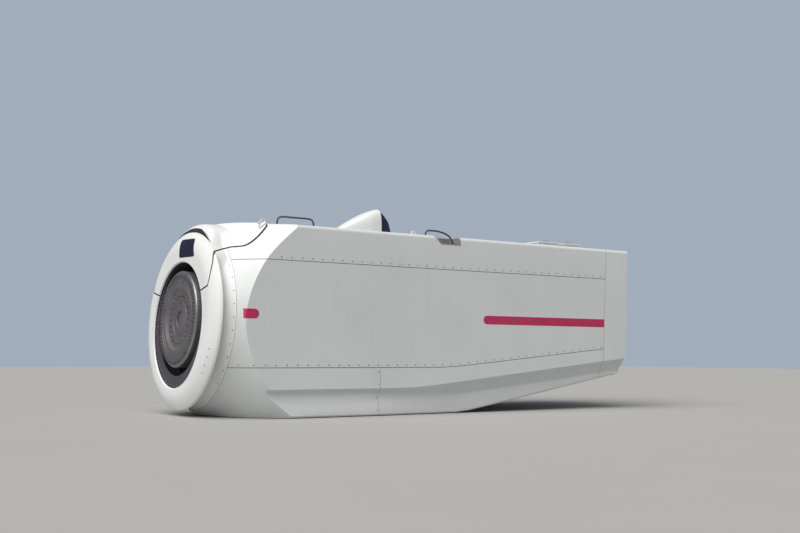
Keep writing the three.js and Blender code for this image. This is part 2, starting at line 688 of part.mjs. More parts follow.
// Roof hatches: a frame in the roof opening, and a lid carried by a hinge rod on the inner side
const hatchTop = roofAt(HATCH.y1) + HATCH.height;
const rodY = HATCH.y1 + HINGE.offset;
const rodZ = hatchTop + HINGE.rise;
for (const { name, x0, x1 } of HATCHES) {
  const frame = box(
    x0 + JOINT_GAP, x1 - JOINT_GAP,
    HATCH.y0 + JOINT_GAP, HATCH.y1 - JOINT_GAP,
    BODY_HEIGHT - HATCH.depth, hatchTop,
  );
  const way = box(
    x0 + HATCH.wall, x1 - HATCH.wall,
    HATCH.y0 + HATCH.wall, HATCH.y1 - HATCH.wall,
    3000, ABOVE,
  );
  addPiece(`${name}_frame`, frame.subtract(way), materials.shell);

  const bracketSpan = 90;
  const armSpan = 170;
  let hinge = rodX(x0 + bracketSpan - 20, x1 - bracketSpan + 20, rodY, rodZ, HINGE.radius, HINGE.sides);
  const lidBase = hatchTop + LID.clearance;
  const lidTop = lidBase + LID.thickness;
  let lid = box(
    x0 - LID.overhang, x1 + LID.overhang,
    HATCH.y0 - LID.overhang, HATCH.y1 - 10,
    lidBase, lidTop,
  );
  for (const end of [x0, x1]) {
    const inward = end === x0 ? 1 : -1;
    const bracketX = end + inward * bracketSpan;
    hinge = hinge.add(box(
      bracketX - HINGE.bracket / 2, bracketX + HINGE.bracket / 2,
      HATCH.y1 + JOINT_GAP, rodY + HINGE.radius, BODY_HEIGHT, rodZ,
    ));
    const armX = end + inward * armSpan;
    const arm0 = armX - HINGE.arm / 2;
    const arm1 = armX + HINGE.arm / 2;
    lid = lid
      .add(rodX(arm0, arm1, rodY, rodZ, HINGE.armRadius, HINGE.sides))
      .add(box(arm0, arm1, HATCH.y1 - 60, rodY, lidBase + 10, lidTop));
  }
  const hole = (HINGE.radius + JOINT_GAP) / Math.cos(Math.PI / HINGE.sides);
  addPiece(`${name}_lid`, lid.subtract(rodX(x0, x1, rodY, rodZ, hole, HINGE.sides)), materials.cover);
  addPiece(`${name}_hinge`, hinge.subtract(roof), materials.rail);
}

// Trays in the roof edge, with the handrail that runs along the roof and down into each tray
onBothSides((name, sign) => {
  const inner = BODY_WIDTH / 2 - TRAY.reach;
  const outer = BODY_WIDTH / 2;
  const tub = sidePlate(trayOutline(JOINT_GAP), inner + JOINT_GAP, outer, sign)
    .subtract(sidePlate(trayOutline(TRAY.wall), inner + TRAY.wall, outer + 100, sign))
    .intersect(sideBox(TRAY.x0, TRAY.x1, inner, outer, sign, 3000, BODY_HEIGHT - 6))
    .intersect(bodyForm(0));
  addPiece(`roof_tray_${name}`, tub, materials.tray);

  const y = sign * TRAY_RAIL.y;
  const foot = roofAt(y);
  const top = foot + TRAY_RAIL.height;
  const trayFloor = BODY_HEIGHT - TRAY.depth + TRAY.wall + JOINT_GAP;
  const rail = bentTube([
    [TRAY_RAIL.x0, foot - 60],
    [TRAY_RAIL.x0, top - 60],
    [TRAY_RAIL.x0 + 60, top],
    [TRAY_RAIL.x0 + 200, top],
    [TRAY_RAIL.x1 - 430, top],
    [TRAY_RAIL.x1 - 150, top - 60],
    [TRAY_RAIL.x1 - 20, top - 190],
    [TRAY_RAIL.x1, trayFloor - 20],
  ], y, TRAY_RAIL.radius, 20);
  const underRoof = roof.intersect(box(FRONT, TRAY.x0, -SIDE, SIDE, BELOW, ABOVE));
  const underTray = box(TRAY.x0, TRAY.x1, -SIDE, SIDE, BELOW, trayFloor);
  addPiece(`tray_rail_${name}`, rail.subtract(underRoof).subtract(underTray), materials.rail);
});

// Handrails and the closed hatch near the nose
onBothSides((name, sign) => {
  const y = sign * FRONT_RAIL.y;
  const foot = roofAt(y);
  const top = foot + FRONT_RAIL.height;
  const rail = bentTube([
    [FRONT_RAIL.x0, foot - 60],
    [FRONT_RAIL.x0, top - 70],
    [FRONT_RAIL.x0 + 70, top],
    [FRONT_RAIL.x0 + 300, top],
    [FRONT_RAIL.x1 - 300, top],
    [FRONT_RAIL.x1 - 70, top],
    [FRONT_RAIL.x1, top - 70],
    [FRONT_RAIL.x1, foot - 60],
  ], y, FRONT_RAIL.radius, 20);
  addPiece(`front_rail_${name}`, rail.subtract(roof), materials.rail);
});
addPiece('front_hatch_cover', box(
  FRONT_HATCH.x0, FRONT_HATCH.x1, -FRONT_HATCH.half, FRONT_HATCH.half,
  BODY_HEIGHT - 20, BODY_HEIGHT + ROOF_CROWN + FRONT_HATCH.height,
).subtract(roof), materials.cover);

// Lifting lugs: a pad on the roof with an upright ear and its eye
for (const { name, x, y } of LUG_PLACES) {
  const crown = ROOF_CROWN + (x < COVER.back ? COVER.crown : 0);
  const padTop = roofAt(y, crown) + LUG_PAD.height;
  const eyeHeight = padTop + LUG.rise;
  const ear = new THREE.Shape();
  ear.moveTo(x - LUG.foot, padTop - 20);
  ear.lineTo(x + LUG.foot, padTop - 20);
  ear.lineTo(x + LUG.head, eyeHeight);
  ear.absarc(x, eyeHeight, LUG.head, 0, Math.PI, false);
  ear.lineTo(x - LUG.foot, padTop - 20);
  const eye = new THREE.Path();
  eye.absarc(x, eyeHeight, LUG.eye, 0, 2 * Math.PI, true);
  ear.holes.push(eye);
  const earPlate = plateXZ(ear, y - LUG.thickness / 2, y + LUG.thickness / 2);
  const pad = box(
    x - LUG_PAD.length / 2, x + LUG_PAD.length / 2,
    y - LUG_PAD.width / 2, y + LUG_PAD.width / 2,
    BODY_HEIGHT - 20, padTop,
  );
  addPiece(`lifting_lug_${name}`, pad.add(earPlate).subtract(roof), materials.cover);
}

// Yaw ring under the floor, and the bedplate that stands on it
addPiece('yaw_ring', upright(YAW_RING.x, 0, 0, YAW_RING.height, YAW_RING.outer, 60)
  .subtract(upright(YAW_RING.x, 0, -50, YAW_RING.height + 50, YAW_RING.inner, 60)), materials.steel);

const bedBase = YAW_RING.height + JOINT_GAP;
const bearingSeat = discOnShaft(BEARING.start - 60, BEARING.end + 60, BEARING.radius + JOINT_GAP, 48);
addPiece('bedplate', plateXZ([
  [BEDPLATE.x0, bedBase + 80],
  [BEDPLATE.x0 + 700, bedBase],
  [BEDPLATE.x1, bedBase],
  [BEDPLATE.x1, BEDPLATE.rear],
  [BEDPLATE.x1 - 1800, BEDPLATE.waist],
  [BEDPLATE.x0 + 1200, BEDPLATE.saddle],
  [BEDPLATE.x0 + 60, BEDPLATE.saddle],
], -BEDPLATE.half, BEDPLATE.half)
  .subtract(upright(YAW_RING.x, 0, BELOW, 2000, MANHOLE_RADIUS, 48))
  .subtract(bearingSeat), materials.casting);

// Main bearing housing: a ring with two feet on the saddle of the bedplate
const bearingFeet = plateXZ([
  [BEARING.start - 20, BEDPLATE.saddle + JOINT_GAP],
  [BEARING.end + 40, BEDPLATE.saddle + JOINT_GAP],
  [BEARING.end, AXIS_HEIGHT - 200],
  [BEARING.start + 60, AXIS_HEIGHT - 200],
], -BEARING.half, BEARING.half).subtract(discOnShaft(0, 3000, BEARING.radius - 60, 48));
const bearingBore = SHAFT.radius + BEARING.running;
const bearingRing = ringOnShaft(BEARING.start, BEARING.end, bearingBore, BEARING.radius, 48);
addPiece('bearing_housing', bearingRing.add(bearingFeet), materials.casting);

// Rotor: the main shaft bears on the front of its housing, and carries the hub flange
addPiece('main_shaft', onShaft([
  [FLANGE.web + JOINT_GAP, 0],
  [FLANGE.web + JOINT_GAP, SHAFT.hub],
  [BEARING.start - 500, SHAFT.hub],
  [BEARING.start - 200, SHAFT.radius + 20],
  [BEARING.start - 60, SHAFT.radius + 20],
  [BEARING.start - 60, SHAFT.shoulder],
  [BEARING.start - JOINT_GAP, SHAFT.shoulder],
  [BEARING.start - JOINT_GAP, SHAFT.radius],
  [SHAFT.length, SHAFT.radius],
  [SHAFT.length, 0],
], 48), materials.steel);

addPiece('rotor_flange', onShaft([
  [FLANGE.web - 30, 0],
  [FLANGE.web - 30, FLANGE.bore],
  [FLANGE.front + 60, FLANGE.bore],
  [FLANGE.front + 60, FLANGE.recess],
  [FLANGE.front, FLANGE.recess + 60],
  [FLANGE.front, FLANGE.radius - 20],
  [FLANGE.front + 20, FLANGE.radius],
  [FLANGE.back, FLANGE.radius],
  [FLANGE.back, FLANGE.radius - FLANGE.rim],
  [FLANGE.web, FLANGE.radius - FLANGE.rim],
  [FLANGE.web, 0],
]), materials.steel);

// Seal plate: it fills the lower part of the collar's opening, with a hole about the shaft
addPiece('nose_seal_ring', onOpening([
  [SEAL.front, 0],
  [SEAL.front, OPENING.radius - JOINT_GAP],
  [SEAL.front + SEAL.thickness, OPENING.radius - JOINT_GAP],
  [SEAL.front + SEAL.thickness, 0],
]).subtract(discOnShaft(SEAL.front - 50, SEAL.front + SEAL.thickness + 50, SEAL.inner)), materials.seal);

// The origin is brought under the middle of the nacelle
const extent = new THREE.Box3().setFromObject(nacelle);
nacelle.position.x = -(extent.min.x + extent.max.x) / 2;

export default nacelle;
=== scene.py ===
"""Wind turbine nacelle: the finished surfaces and fittings around its frame of solids.

Lengths are in metres. Stations along the nacelle are measured from the widest line of the nose
collar towards the tail, and ORIGIN brings them into the frame.
"""
import json
import math

import bmesh
import bpy
from bpy.props import FloatProperty, FloatVectorProperty, PointerProperty
from mathutils import Matrix, Vector
from mathutils.bvhtree import BVHTree

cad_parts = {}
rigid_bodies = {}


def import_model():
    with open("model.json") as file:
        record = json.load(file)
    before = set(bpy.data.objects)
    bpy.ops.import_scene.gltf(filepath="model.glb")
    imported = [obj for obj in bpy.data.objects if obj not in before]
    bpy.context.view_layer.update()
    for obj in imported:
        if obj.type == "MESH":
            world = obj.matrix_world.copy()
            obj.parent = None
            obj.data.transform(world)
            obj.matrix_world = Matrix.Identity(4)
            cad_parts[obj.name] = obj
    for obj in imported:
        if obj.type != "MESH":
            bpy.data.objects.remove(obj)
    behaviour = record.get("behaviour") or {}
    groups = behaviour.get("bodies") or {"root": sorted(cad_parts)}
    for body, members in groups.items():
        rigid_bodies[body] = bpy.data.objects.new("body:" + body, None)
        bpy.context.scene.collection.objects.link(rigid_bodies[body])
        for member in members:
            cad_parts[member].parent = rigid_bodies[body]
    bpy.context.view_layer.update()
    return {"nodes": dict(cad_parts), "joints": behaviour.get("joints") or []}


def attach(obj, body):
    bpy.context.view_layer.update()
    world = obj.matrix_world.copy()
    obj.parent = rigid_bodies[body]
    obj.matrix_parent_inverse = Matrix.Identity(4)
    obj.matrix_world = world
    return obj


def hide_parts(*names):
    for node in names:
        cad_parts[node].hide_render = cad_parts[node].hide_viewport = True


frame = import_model()

bl_info = {
    "name": "Wind turbine nacelle",
    "version": (1, 0, 0),
    "blender": (4, 5, 0),
    "location": "3D View > Sidebar > Nacelle",
    "description": "Builds the finished surfaces of a wind turbine nacelle piece by piece",
    "category": "Object",
}

# Form of the housing
BODY_LENGTH = 11.5
HALF_WIDTH = 2.099
BODY_HEIGHT = 4.1
BODY_START = -0.4
ROOF_CROWN = 0.07
ROOF_EDGE = 0.09
KEEL_EDGE = 0.05
SHARPEST_EDGE = 0.01
SKIN = 0.08
PANEL_GAP = 0.0006
SEAT_GAP = 0.0003
LEDGE = {"height": 0.6, "start": 4.8, "slope": 0.104, "bend": 0.7, "arris": 0.004}
LIP = {"height": 0.42, "start": 6.0, "slope": 0.104, "bend": 0.5}
KEEL = {"height": 0.0, "start": 6.18, "slope": 0.174, "bend": 0.35}
UNDERCUT = {"start": 0.8, "run": 0.12, "front": 0.13, "rear": 0.17, "keel": 0.3, "change": (3.6, 6.0)}
COVE = {"soft": 0.8, "crisp": 0.12, "change": (2.2, 6.5), "below": 0.05, "drop": (2.6, 6.0), "widest": 0.6}
TAIL_RAKE = math.tan(math.radians(3))
TAIL_HEEL = 1.32
TAIL_FOOT = ((0.194, -0.05), (0.194, 0.89), (0.104, 0.905), (0.064, 1.19))
YAW_OPENING = {"at": 3.2, "radius": 1.3}

# Nose collar and the fairing behind it
AXIS_HEIGHT = 2.09
SHAFT_TILT = math.radians(3)
SHAFT_LEAN = Matrix.Rotation(SHAFT_TILT, 3, "Y")
RIM = {
    "height": 2.06, "radius": 1.953, "widen": 1.03, "front": -0.149, "flat": 1.55, "dome": 0.145,
    "swell": 2.2, "shoulder": 0.016, "edge": 0.04, "steps": 240,
}
RIM_BACK = {"start": 0.05, "end": 0.13, "radius": 1.72}
OPENING = {"height": 1.96, "radius": 1.375, "lead": 0.025, "end": 1.2, "steps": 200}
NOSE_WALL = 0.34
FAIRING = {"height": 2.025, "radius": 1.638, "slope": 0.86, "settle": 0.7, "steps": 240}
SHOULDER = {"radius": 1.943, "full": 45, "end": 57}
EASE = {"at": 1.0, "width": 0.1, "slope": 0.27}
BROW = {"front": 0.07, "radius": 2.04, "roof": 2.19, "run": 0.11, "full": 20, "end": 38}
BROW_GAP = {
    "start": 0.04, "end": 0.075, "floor": 1.88, "reach": 2.075, "last": 1.955, "full": 8, "near": 36,
    "far": 44, "steps": 60,
}

# Seams between the panels
UPPER_SEAM = 3.32
LOWER_SEAM = {"height": 1.055, "start": 5.7, "slope": 0.094, "bend": 0.5}
NOSE_SEAM = {"at": 0.355, "height": 1.99, "rake": math.tan(SHAFT_TILT)}
TAIL_SEAM = {"at": 10.64, "height": 2.5}
LOWER_PANEL_SEAM = 3.8
FLOOR_HALF_WIDTH = 1.68
COVER = {
    "front": 0.11, "shelf": 3.485, "step": 0.5, "high": 3.605, "sweep": 0.68, "back": 1.21,
    "crown": 0.045, "overlap": 0.04,
}
COVER_SIDES = ((1.38, 3.49), (1.505, 3.266), (1.545, 3.112), (1.572, 2.9), (1.55, 2.745), (1.15, 2.65))

# Side stripes, with the ends that are round
STRIPES = (("short", 0.48, 0.82, False, True), ("long", 6.685, 10.62, True, False))
PAINT_FILM = 0.0008

# Air ways
INLET = {
    "x": -0.084, "y": -0.37, "low": 3.415, "high": 3.855, "corner": 0.07, "frame": 0.04, "bead": 0.02,
    "sunk": 0.006, "end": 0.5, "slats": 11, "wall": 0.022,
}
INLET_CORNERS = ((0.125, 3.445), (0.15, 3.855), (-0.555, 3.83), (-0.742, 3.415))
TAIL_OPENING = {"low": 1.42, "high": 3.94, "half": 1.95}
TAIL_SHEET = {"front": 0.08, "back": 0.03}
TAIL_GRILLE = {"low": 2.5, "high": 3.6, "half": 1.3, "slats": 18, "border": 0.04, "posts": 3, "between": 0.65}
VENT = {
    "x0": 3.0, "x1": 4.07, "x2": 4.35, "y": -1.35, "half": 0.33, "height": 0.56, "wall": 0.045,
    "sill": 0.02, "swell": 1.3, "steep": 0.55, "slats": 9,
}
LOUVRE_TURN = math.radians(38)

# Roof fittings
HATCHES = (("rear_hatch_front", 8.86, 9.535), ("rear_hatch_back", 9.7, 10.29))
HATCH_SIDES = (-1.6, -0.95)
HATCH_RISE = 0.04
LID = {"clearance": 0.006, "thickness": 0.035, "border": 0.06, "hinge_side": 0.16, "corner": 0.05}
LID_GRIP = {"half": 0.09, "straight": 0.06, "rise": 0.055, "radius": 0.008, "in": 0.08}
TRAY = {"start": 5.25, "slant": 0.2, "end": 6.01, "depth": 0.2, "reach": 0.42, "lining": 0.03}
TRAY_TREADS = {"count": 9, "first": 0.09, "pitch": 0.055, "width": 0.016, "height": 0.012}
TRAY_RAIL = {"x0": 5.15, "x1": 5.94, "y": 1.88, "height": 0.125}
FRONT_RAIL = {"x0": 1.5, "x1": 2.4, "y": 1.5, "height": 0.19}
RAIL_RADIUS = 0.02
RAIL_SUNK = 0.06
LUG = {
    "length": 0.22, "width": 0.14, "pad": 0.024, "corner": 0.03, "thickness": 0.04, "foot": 0.09,
    "head": 0.046, "eye": 0.024, "rise": 0.032,
}
LUG_STUDS = {"along": 0.085, "across": 0.045, "radius": 0.014, "height": 0.012}
LUG_PLACES = (("front", 1.15, 1.5), ("rear", 4.9, 1.75))

# Hub flange and the seal plate round it
FLANGE = {
    "front": -0.14, "back": 0.14, "web": -0.02, "radius": 1.055, "rim": 0.16, "recess": 0.64, "bore": 0.19,
}
FLANGE_STUDS = {"radius": 0.95, "count": 72, "washer": 0.021, "head": 0.0145, "height": 0.05}
INNER_STUDS = {"radius": 0.52, "count": 24}
SEAL = {"front": -0.095, "thickness": 0.04, "inner": 1.24, "bolts": 60, "border": 0.028}

# Bolts along the seams
BOLT = {"head": 0.7, "height": 0.008, "sunk": 0.001, "steepest": 0.3}
UPPER_BOLTS = {"start": 1.32, "end": 10.5, "above": 0.06}
LOWER_BOLTS = {"start": 0.48, "end": 10.5, "above": 0.055}
NOSE_BOLTS = {"low": 0.72, "high": 3.2, "ahead": 0.04, "pitch": 0.27}
PANEL_BOLTS = {"heights": (0.96, 0.69, 0.39, 0.11), "ahead": 0.045}
COLLAR_BOLTS = {"radius": 1.8, "angles": range(-38, -19, 6)}
TAIL_BOLTS = {"border": 0.05, "pitch": 0.3, "washer": 0.018, "head": 0.012}

# Widths of the rounded edges on the solids that keep their own shape
SOFT_EDGES = {
    "front_hatch_cover": 0.012, "rear_hatch_front_frame": 0.005, "rear_hatch_back_frame": 0.005,
    "rear_hatch_front_lid": 0.007, "rear_hatch_back_lid": 0.007, "rear_hatch_front_hinge": 0.002,
    "rear_hatch_back_hinge": 0.002, "roof_tray": 0.004, "yaw_ring": 0.006, "bedplate": 0.02,
    "bearing_housing": 0.015, "main_shaft": 0.006, "tail_panel": 0.004,
}

# Far limits of the cutting solids, and the closed middle of a turned one
FAR_FRONT = -0.5
FAR_BACK = 12.8
FAR_SIDE = 3.0
FAR_BELOW = -0.2
FAR_ABOVE = 4.5
ROOF_ZONE = 3.0
CENTRE = 0.0001

SIDES = (("left", -1), ("right", 1))
ROTOR_JOINT = next(joint for joint in frame["joints"] if joint["name"] == "rotor_turn")
ORIGIN = Vector((ROTOR_JOINT["pos_m"][0], 0.0, 0.0))


class NacelleSizes(bpy.types.PropertyGroup):
    seam_width: FloatProperty(
        name="Seam width", description="Width of the joint between two panels", default=0.012, unit="LENGTH")
    seam_depth: FloatProperty(
        name="Seam depth", description="Depth of the joint between two panels", default=0.03, unit="LENGTH")
    stripe_low: FloatProperty(
        name="Stripe bottom", description="Height of the stripes' lower edge", default=2.07, unit="LENGTH")
    stripe_high: FloatProperty(
        name="Stripe top", description="Height of the stripes' upper edge", default=2.275, unit="LENGTH")
    bolt_pitch: FloatProperty(
        name="Bolt pitch", description="Distance between the bolts along a seam", default=0.25, unit="LENGTH")
    bolt_radius: FloatProperty(
        name="Bolt radius", description="Radius of a seam bolt's washer", default=0.014, unit="LENGTH")


class NacelleColours(bpy.types.PropertyGroup):
    shell: FloatVectorProperty(
        name="Shell", description="Gelcoat of the housing", subtype="COLOR", size=3,
        default=(0.69, 0.71, 0.71))
    nose: FloatVectorProperty(
        name="Nose", description="Gelcoat of the nose and its cover", subtype="COLOR", size=3,
        default=(0.78, 0.79, 0.78))
    stripe: FloatVectorProperty(
        name="Stripe", description="Paint of the side stripes", subtype="COLOR", size=3,
        default=(0.52, 0.028, 0.11))
    grille: FloatVectorProperty(
        name="Grilles", description="Dark paint of the air grilles", subtype="COLOR", size=3,
        default=(0.022, 0.018, 0.062))
    steel: FloatVectorProperty(
        name="Steel", description="Machined steel of the hub flange", subtype="COLOR", size=3,
        default=(0.2, 0.19, 0.2))


class NacelleStage(bpy.types.PropertyGroup):
    lens: FloatProperty(name="Lens", description="Focal length on a 36 mm sensor", default=47.25, min=1)
    place: FloatVectorProperty(
        name="Camera place", description="Where the camera stands", subtype="TRANSLATION", size=3,
        default=(-14.34215, -21.84148, 1.32123))
    yaw: FloatProperty(
        name="Camera turn", description="Turn from +Y towards +X", default=0.582590888, unit="ROTATION")
    pitch: FloatProperty(
        name="Camera rise", description="Angle above the horizon", default=0.0846292735, unit="ROTATION")
    roll: FloatProperty(
        name="Camera roll", description="Roll about the line of sight", default=0.00428930716, unit="ROTATION")
    sun: FloatProperty(name="Key light", description="Strength of the soft key light", default=3.65, min=0)
    fill: FloatProperty(name="Fill light", description="Strength of the light all round", default=0.25, min=0)
    backdrop: FloatVectorProperty(
        name="Backdrop", description="Colour behind the nacelle", subtype="COLOR", size=3,
        default=(0.36, 0.42, 0.5))
    floor: FloatVectorProperty(
        name="Floor", description="Colour of the floor", subtype="COLOR", size=3, default=(0.4, 0.395, 0.38))


def sizes():
    return bpy.context.scene.nacelle_sizes


# Formulas of the body


def smoothstep(value, low, high):
    t = min(max((value - low) / (high - low), 0.0), 1.0)
    return t * t * (3 - 2 * t)


def mix(a, b, t):
    return a + (b - a) * t


def rise(line, x):
    """Height of a line that runs level and then climbs in a straight slope after a short bend."""
    run = x - line["start"]
    bend = line["bend"]
    if run <= -bend:
        climb = 0.0
    elif run >= bend:
        climb = line["slope"] * run
    else:
        climb = line["slope"] * (run + bend) ** 2 / (4 * bend)
    return line["height"] + climb


def crown_at(x):
    return ROOF_CROWN + (COVER["crown"] if x <= COVER["back"] else 0.0)


def roof_at(y, crown=ROOF_CROWN):
    return BODY_HEIGHT + crown * (1 - (abs(y) / (HALF_WIDTH - ROOF_EDGE)) ** 2)


def nose_seam_at(z):
    return NOSE_SEAM["at"] + (z - NOSE_SEAM["height"]) * NOSE_SEAM["rake"]


def tail_seam_at(z):
    return TAIL_SEAM["at"] + (z - TAIL_SEAM["height"]) * TAIL_RAKE


def tail_face_at(z):
    return BODY_LENGTH - (BODY_HEIGHT - z) * TAIL_RAKE


# Outlines


def arc(centre, radius, start, end, steps):
    """Points on an arc, angles in degrees."""
    points = []
    for i in range(steps + 1):
        angle = math.radians(mix(start, end, i / steps))
        points.append((centre[0] + radius * math.cos(angle), centre[1] + radius * math.sin(angle)))
    return points


def circle(count, radius):
    """Even points on a whole circle about zero."""
    angles = [2 * math.pi * i / count for i in range(count)]
    return [(radius * math.cos(angle), radius * math.sin(angle)) for angle in angles]


def bent(start, corner, end, steps):
    """Points on a curve that leaves one side of a corner and meets the other."""
    points = []
    for i in range(steps + 1):
        t = i / steps
        spot = start.lerp(corner, t).lerp(corner.lerp(end, t), t)
        points.append((spot.x, spot.y))
    return points


def rounded_box(x0, x1, y0, y1, corner, steps, shrink=0.0):
    """A rectangle with round corners, whose centres stay where they are when it shrinks."""
    points = []
    for x, y, start in (
        (x1 - corner, y1 - corner, 0), (x0 + corner, y1 - corner, 90),
        (x0 + corner, y0 + corner, 180), (x1 - corner, y0 + corner, 270),
    ):
        points += arc((x, y), corner - shrink, start, start + 90, steps)
    return points


# Closed meshes


def mesh_object(name, points, faces):
    mesh = bpy.data.meshes.new(name)
    mesh.from_pydata([tuple(point) for point in points], [], faces)
    mesh.validate()
    piece = bpy.data.objects.new(name, mesh)
    bpy.context.scene.collection.objects.link(piece)
    return piece


def outward(piece):
    """Merges doubles and turns all faces outwards."""
    form = bmesh.new()
    form.from_mesh(piece.data)
    bmesh.ops.remove_doubles(form, verts=form.verts, dist=1e-6)
    bmesh.ops.recalc_face_normals(form, faces=form.faces)
    if form.calc_volume(signed=True) < 0:
        bmesh.ops.reverse_faces(form, faces=form.faces)
    form.to_mesh(piece.data)
    form.free()
    return piece


def loft(name, rings):
    """A closed skin over rings of equally many points."""
    count = len(rings[0])
    points = [point for ring in rings for point in ring]
    faces = [tuple(range(count)), tuple(range(len(points) - count, len(points)))]
    for r in range(len(rings) - 1):
        for i in range(count):
            j = (i + 1) % count
            faces.append((r * count + i, r * count + j, (r + 1) * count + j, (r + 1) * count + i))
    return outward(mesh_object(name, points, faces))


def zone(x0=FAR_FRONT, x1=FAR_BACK, y0=-FAR_SIDE, y1=FAR_SIDE, z0=FAR_BELOW, z1=FAR_ABOVE):
    """A block that reaches past the nacelle on each side that isn't given."""
    return loft("zone", [[(x, y0, z0), (x, y1, z0), (x, y1, z1), (x, y0, z1)] for x in (x0, x1)])


def plate_xz(name, outline, y0=-FAR_SIDE, y1=FAR_SIDE):
    """An outline of (x, z) points carried across the width."""
    return loft(name, [[(x, y, z) for x, z in outline] for y in (y0, y1)])


def plate_yz(name, outline, x0, x1):
    """An outline of (y, z) points carried along the length."""
    return loft(name, [[(x, y, z) for y, z in outline] for x in (x0, x1)])


def tilted(distance, y, z, height):
    """A place about a line that leans as the shaft does, at the line's height."""
    point = SHAFT_LEAN @ Vector((distance, y, z))
    return Vector((point.x, point.y, point.z + height))


def turned(name, profile, steps, height, widen=1.0):
    """A profile of (distance, radius), closed in the middle, turned about a leaning line."""
    closed = [(profile[0][0], CENTRE), *profile, (profile[-1][0], CENTRE)]
    return loft(name, [
        [tilted(distance, widen * y, z, height) for y, z in circle(steps, radius)]
        for distance, radius in closed])


def upright(name, x, y, z0, z1, radius, steps):
    return loft(name, [[(x + dx, y + dy, z) for dx, dy in circle(steps, radius)] for z in (z0, z1)])


def discard(piece):
    mesh = piece.data
    bpy.data.objects.remove(piece)
    bpy.data.meshes.remove(mesh)


def twin(piece, name):
    copy = piece.copy()
    copy.data = piece.data.copy()
    copy.name = name
    bpy.context.scene.collection.objects.link(copy)
    return copy


def bake(piece):
    """Turns the modifiers of a piece into its plain mesh."""
    scene_state = bpy.context.evaluated_depsgraph_get()
    mesh = bpy.data.meshes.new_from_object(piece.evaluated_get(scene_state))
    old = piece.data
    piece.modifiers.clear()
    piece.data = mesh
    bpy.data.meshes.remove(old)
    return piece


def combine(piece, other, operation, keep):
    """Joins, cuts or intersects a piece with another one, which is used up unless it is kept."""
    step = piece.modifiers.new("combine", "BOOLEAN")
    step.operation = operation
    step.solver = "MANIFOLD"
    step.material_mode = "TRANSFER"
    step.object = other
    bake(piece)
    if not keep:
        discard(other)
    return piece


def cut(piece, other, keep=False):
    return combine(piece, other, "DIFFERENCE", keep)


def common(piece, other, keep=False):
    return combine(piece, other, "INTERSECT", keep)


def join(piece, other, keep=False):
    return combine(piece, other, "UNION", keep)


# Node materials


def add_node(tree, kind, entries=None, **settings):
    """Adds a node with its settings; each entry takes a plain value or a link from a socket."""
    node = tree.nodes.new(kind)
    for name, value in settings.items():
        setattr(node, name, value)
    for entry, value in (entries or {}).items():
        if isinstance(value, bpy.types.NodeSocket):
            tree.links.new(value, node.inputs[entry])
        else:
            node.inputs[entry].default_value = value
    return node


class Paint:
    """A material under construction, whose methods add nodes and hand on their sockets."""

    def __init__(self, name, colour, roughness, metallic=0.0):
        self.material = bpy.data.materials.new(name)
        self.material.use_nodes = True
        self.material.diffuse_color = (*colour, 1.0)
        self.tree = self.material.node_tree
        self.tree.nodes.clear()
        self.shader = add_node(self.tree, "ShaderNodeBsdfPrincipled", {
            "Base Color": (*colour, 1.0), "Roughness": roughness, "Metallic": metallic})
        add_node(self.tree, "ShaderNodeOutputMaterial", {"Surface": self.shader.outputs["BSDF"]})
        self.coordinates = self.tree.nodes.new("ShaderNodeTexCoord")

    def noise(self, scale, detail=4.0, stretch=(1, 1, 1), roughness=0.55):
        spread = add_node(self.tree, "ShaderNodeMapping", {
            "Vector": self.coordinates.outputs["Object"], "Scale": stretch})
        grain = add_node(self.tree, "ShaderNodeTexNoise", {
            "Vector": spread.outputs["Vector"], "Scale": scale, "Detail": detail, "Roughness": roughness})
        return grain.outputs["Fac"]

    def mask(self, source, low, high, strength=1.0):
        """Turns a value into nothing below one limit and a strength above another."""
        node = add_node(self.tree, "ShaderNodeValToRGB", {"Fac": source})
        for element, position, value in zip(node.color_ramp.elements, (low, high), (0.0, strength)):
            element.position = position
            element.color = (value, value, value, 1.0)
        return node.outputs["Color"]

    def blend(self, mask, first, second):
        """Mixes a first colour, plain or from a socket, with a second plain one by a mask."""
        if not isinstance(first, bpy.types.NodeSocket):
            first = (*first, 1.0)
        node = add_node(
            self.tree, "ShaderNodeMix", {"Factor": mask, 6: first, 7: (*second, 1.0)}, data_type="RGBA")
        return node.outputs[2]

    def surface(self, entry, socket):
        self.tree.links.new(socket, self.shader.inputs[entry])

    def rough(self, source, low, high):
        span = add_node(self.tree, "ShaderNodeMapRange", {"Value": source, "To Min": low, "To Max": high})
        self.surface("Roughness", span.outputs["Result"])

    def bump(self, source, distance, strength):
        relief = add_node(self.tree, "ShaderNodeBump", {
            "Height": source, "Distance": distance, "Strength": strength})
        self.surface("Normal", relief.outputs["Normal"])


def tinted(colour, factor):
    return tuple(min(part * factor, 1.0) for part in colour)


def gelcoat(name, colour):
    """White gelcoat on glass fibre: broad clouding, faint rain streaks, dust and fine ripple."""
    paint = Paint(name, colour, 0.4)
    clouds = paint.noise(0.8, 5.0)
    streaks = paint.noise(5.0, 4.0, (1.0, 1.0, 0.1))
    specks = paint.noise(55.0, 2.0)
    tone = paint.blend(paint.mask(clouds, 0.35, 0.7), colour, tinted(colour, 0.955))
    tone = paint.blend(paint.mask(streaks, 0.56, 0.8, 0.5), tone, tinted(colour, 0.9))
    tone = paint.blend(paint.mask(specks, 0.66, 0.82, 0.45), tone, tinted(colour, 0.84))
    paint.surface("Base Color", tone)
    paint.rough(clouds, 0.34, 0.5)
    paint.bump(paint.noise(2.2, 3.0), 0.004, 0.5)
    paint.shader.inputs["Coat Weight"].default_value = 0.12
    paint.shader.inputs["Coat Roughness"].default_value = 0.25
    return paint.material


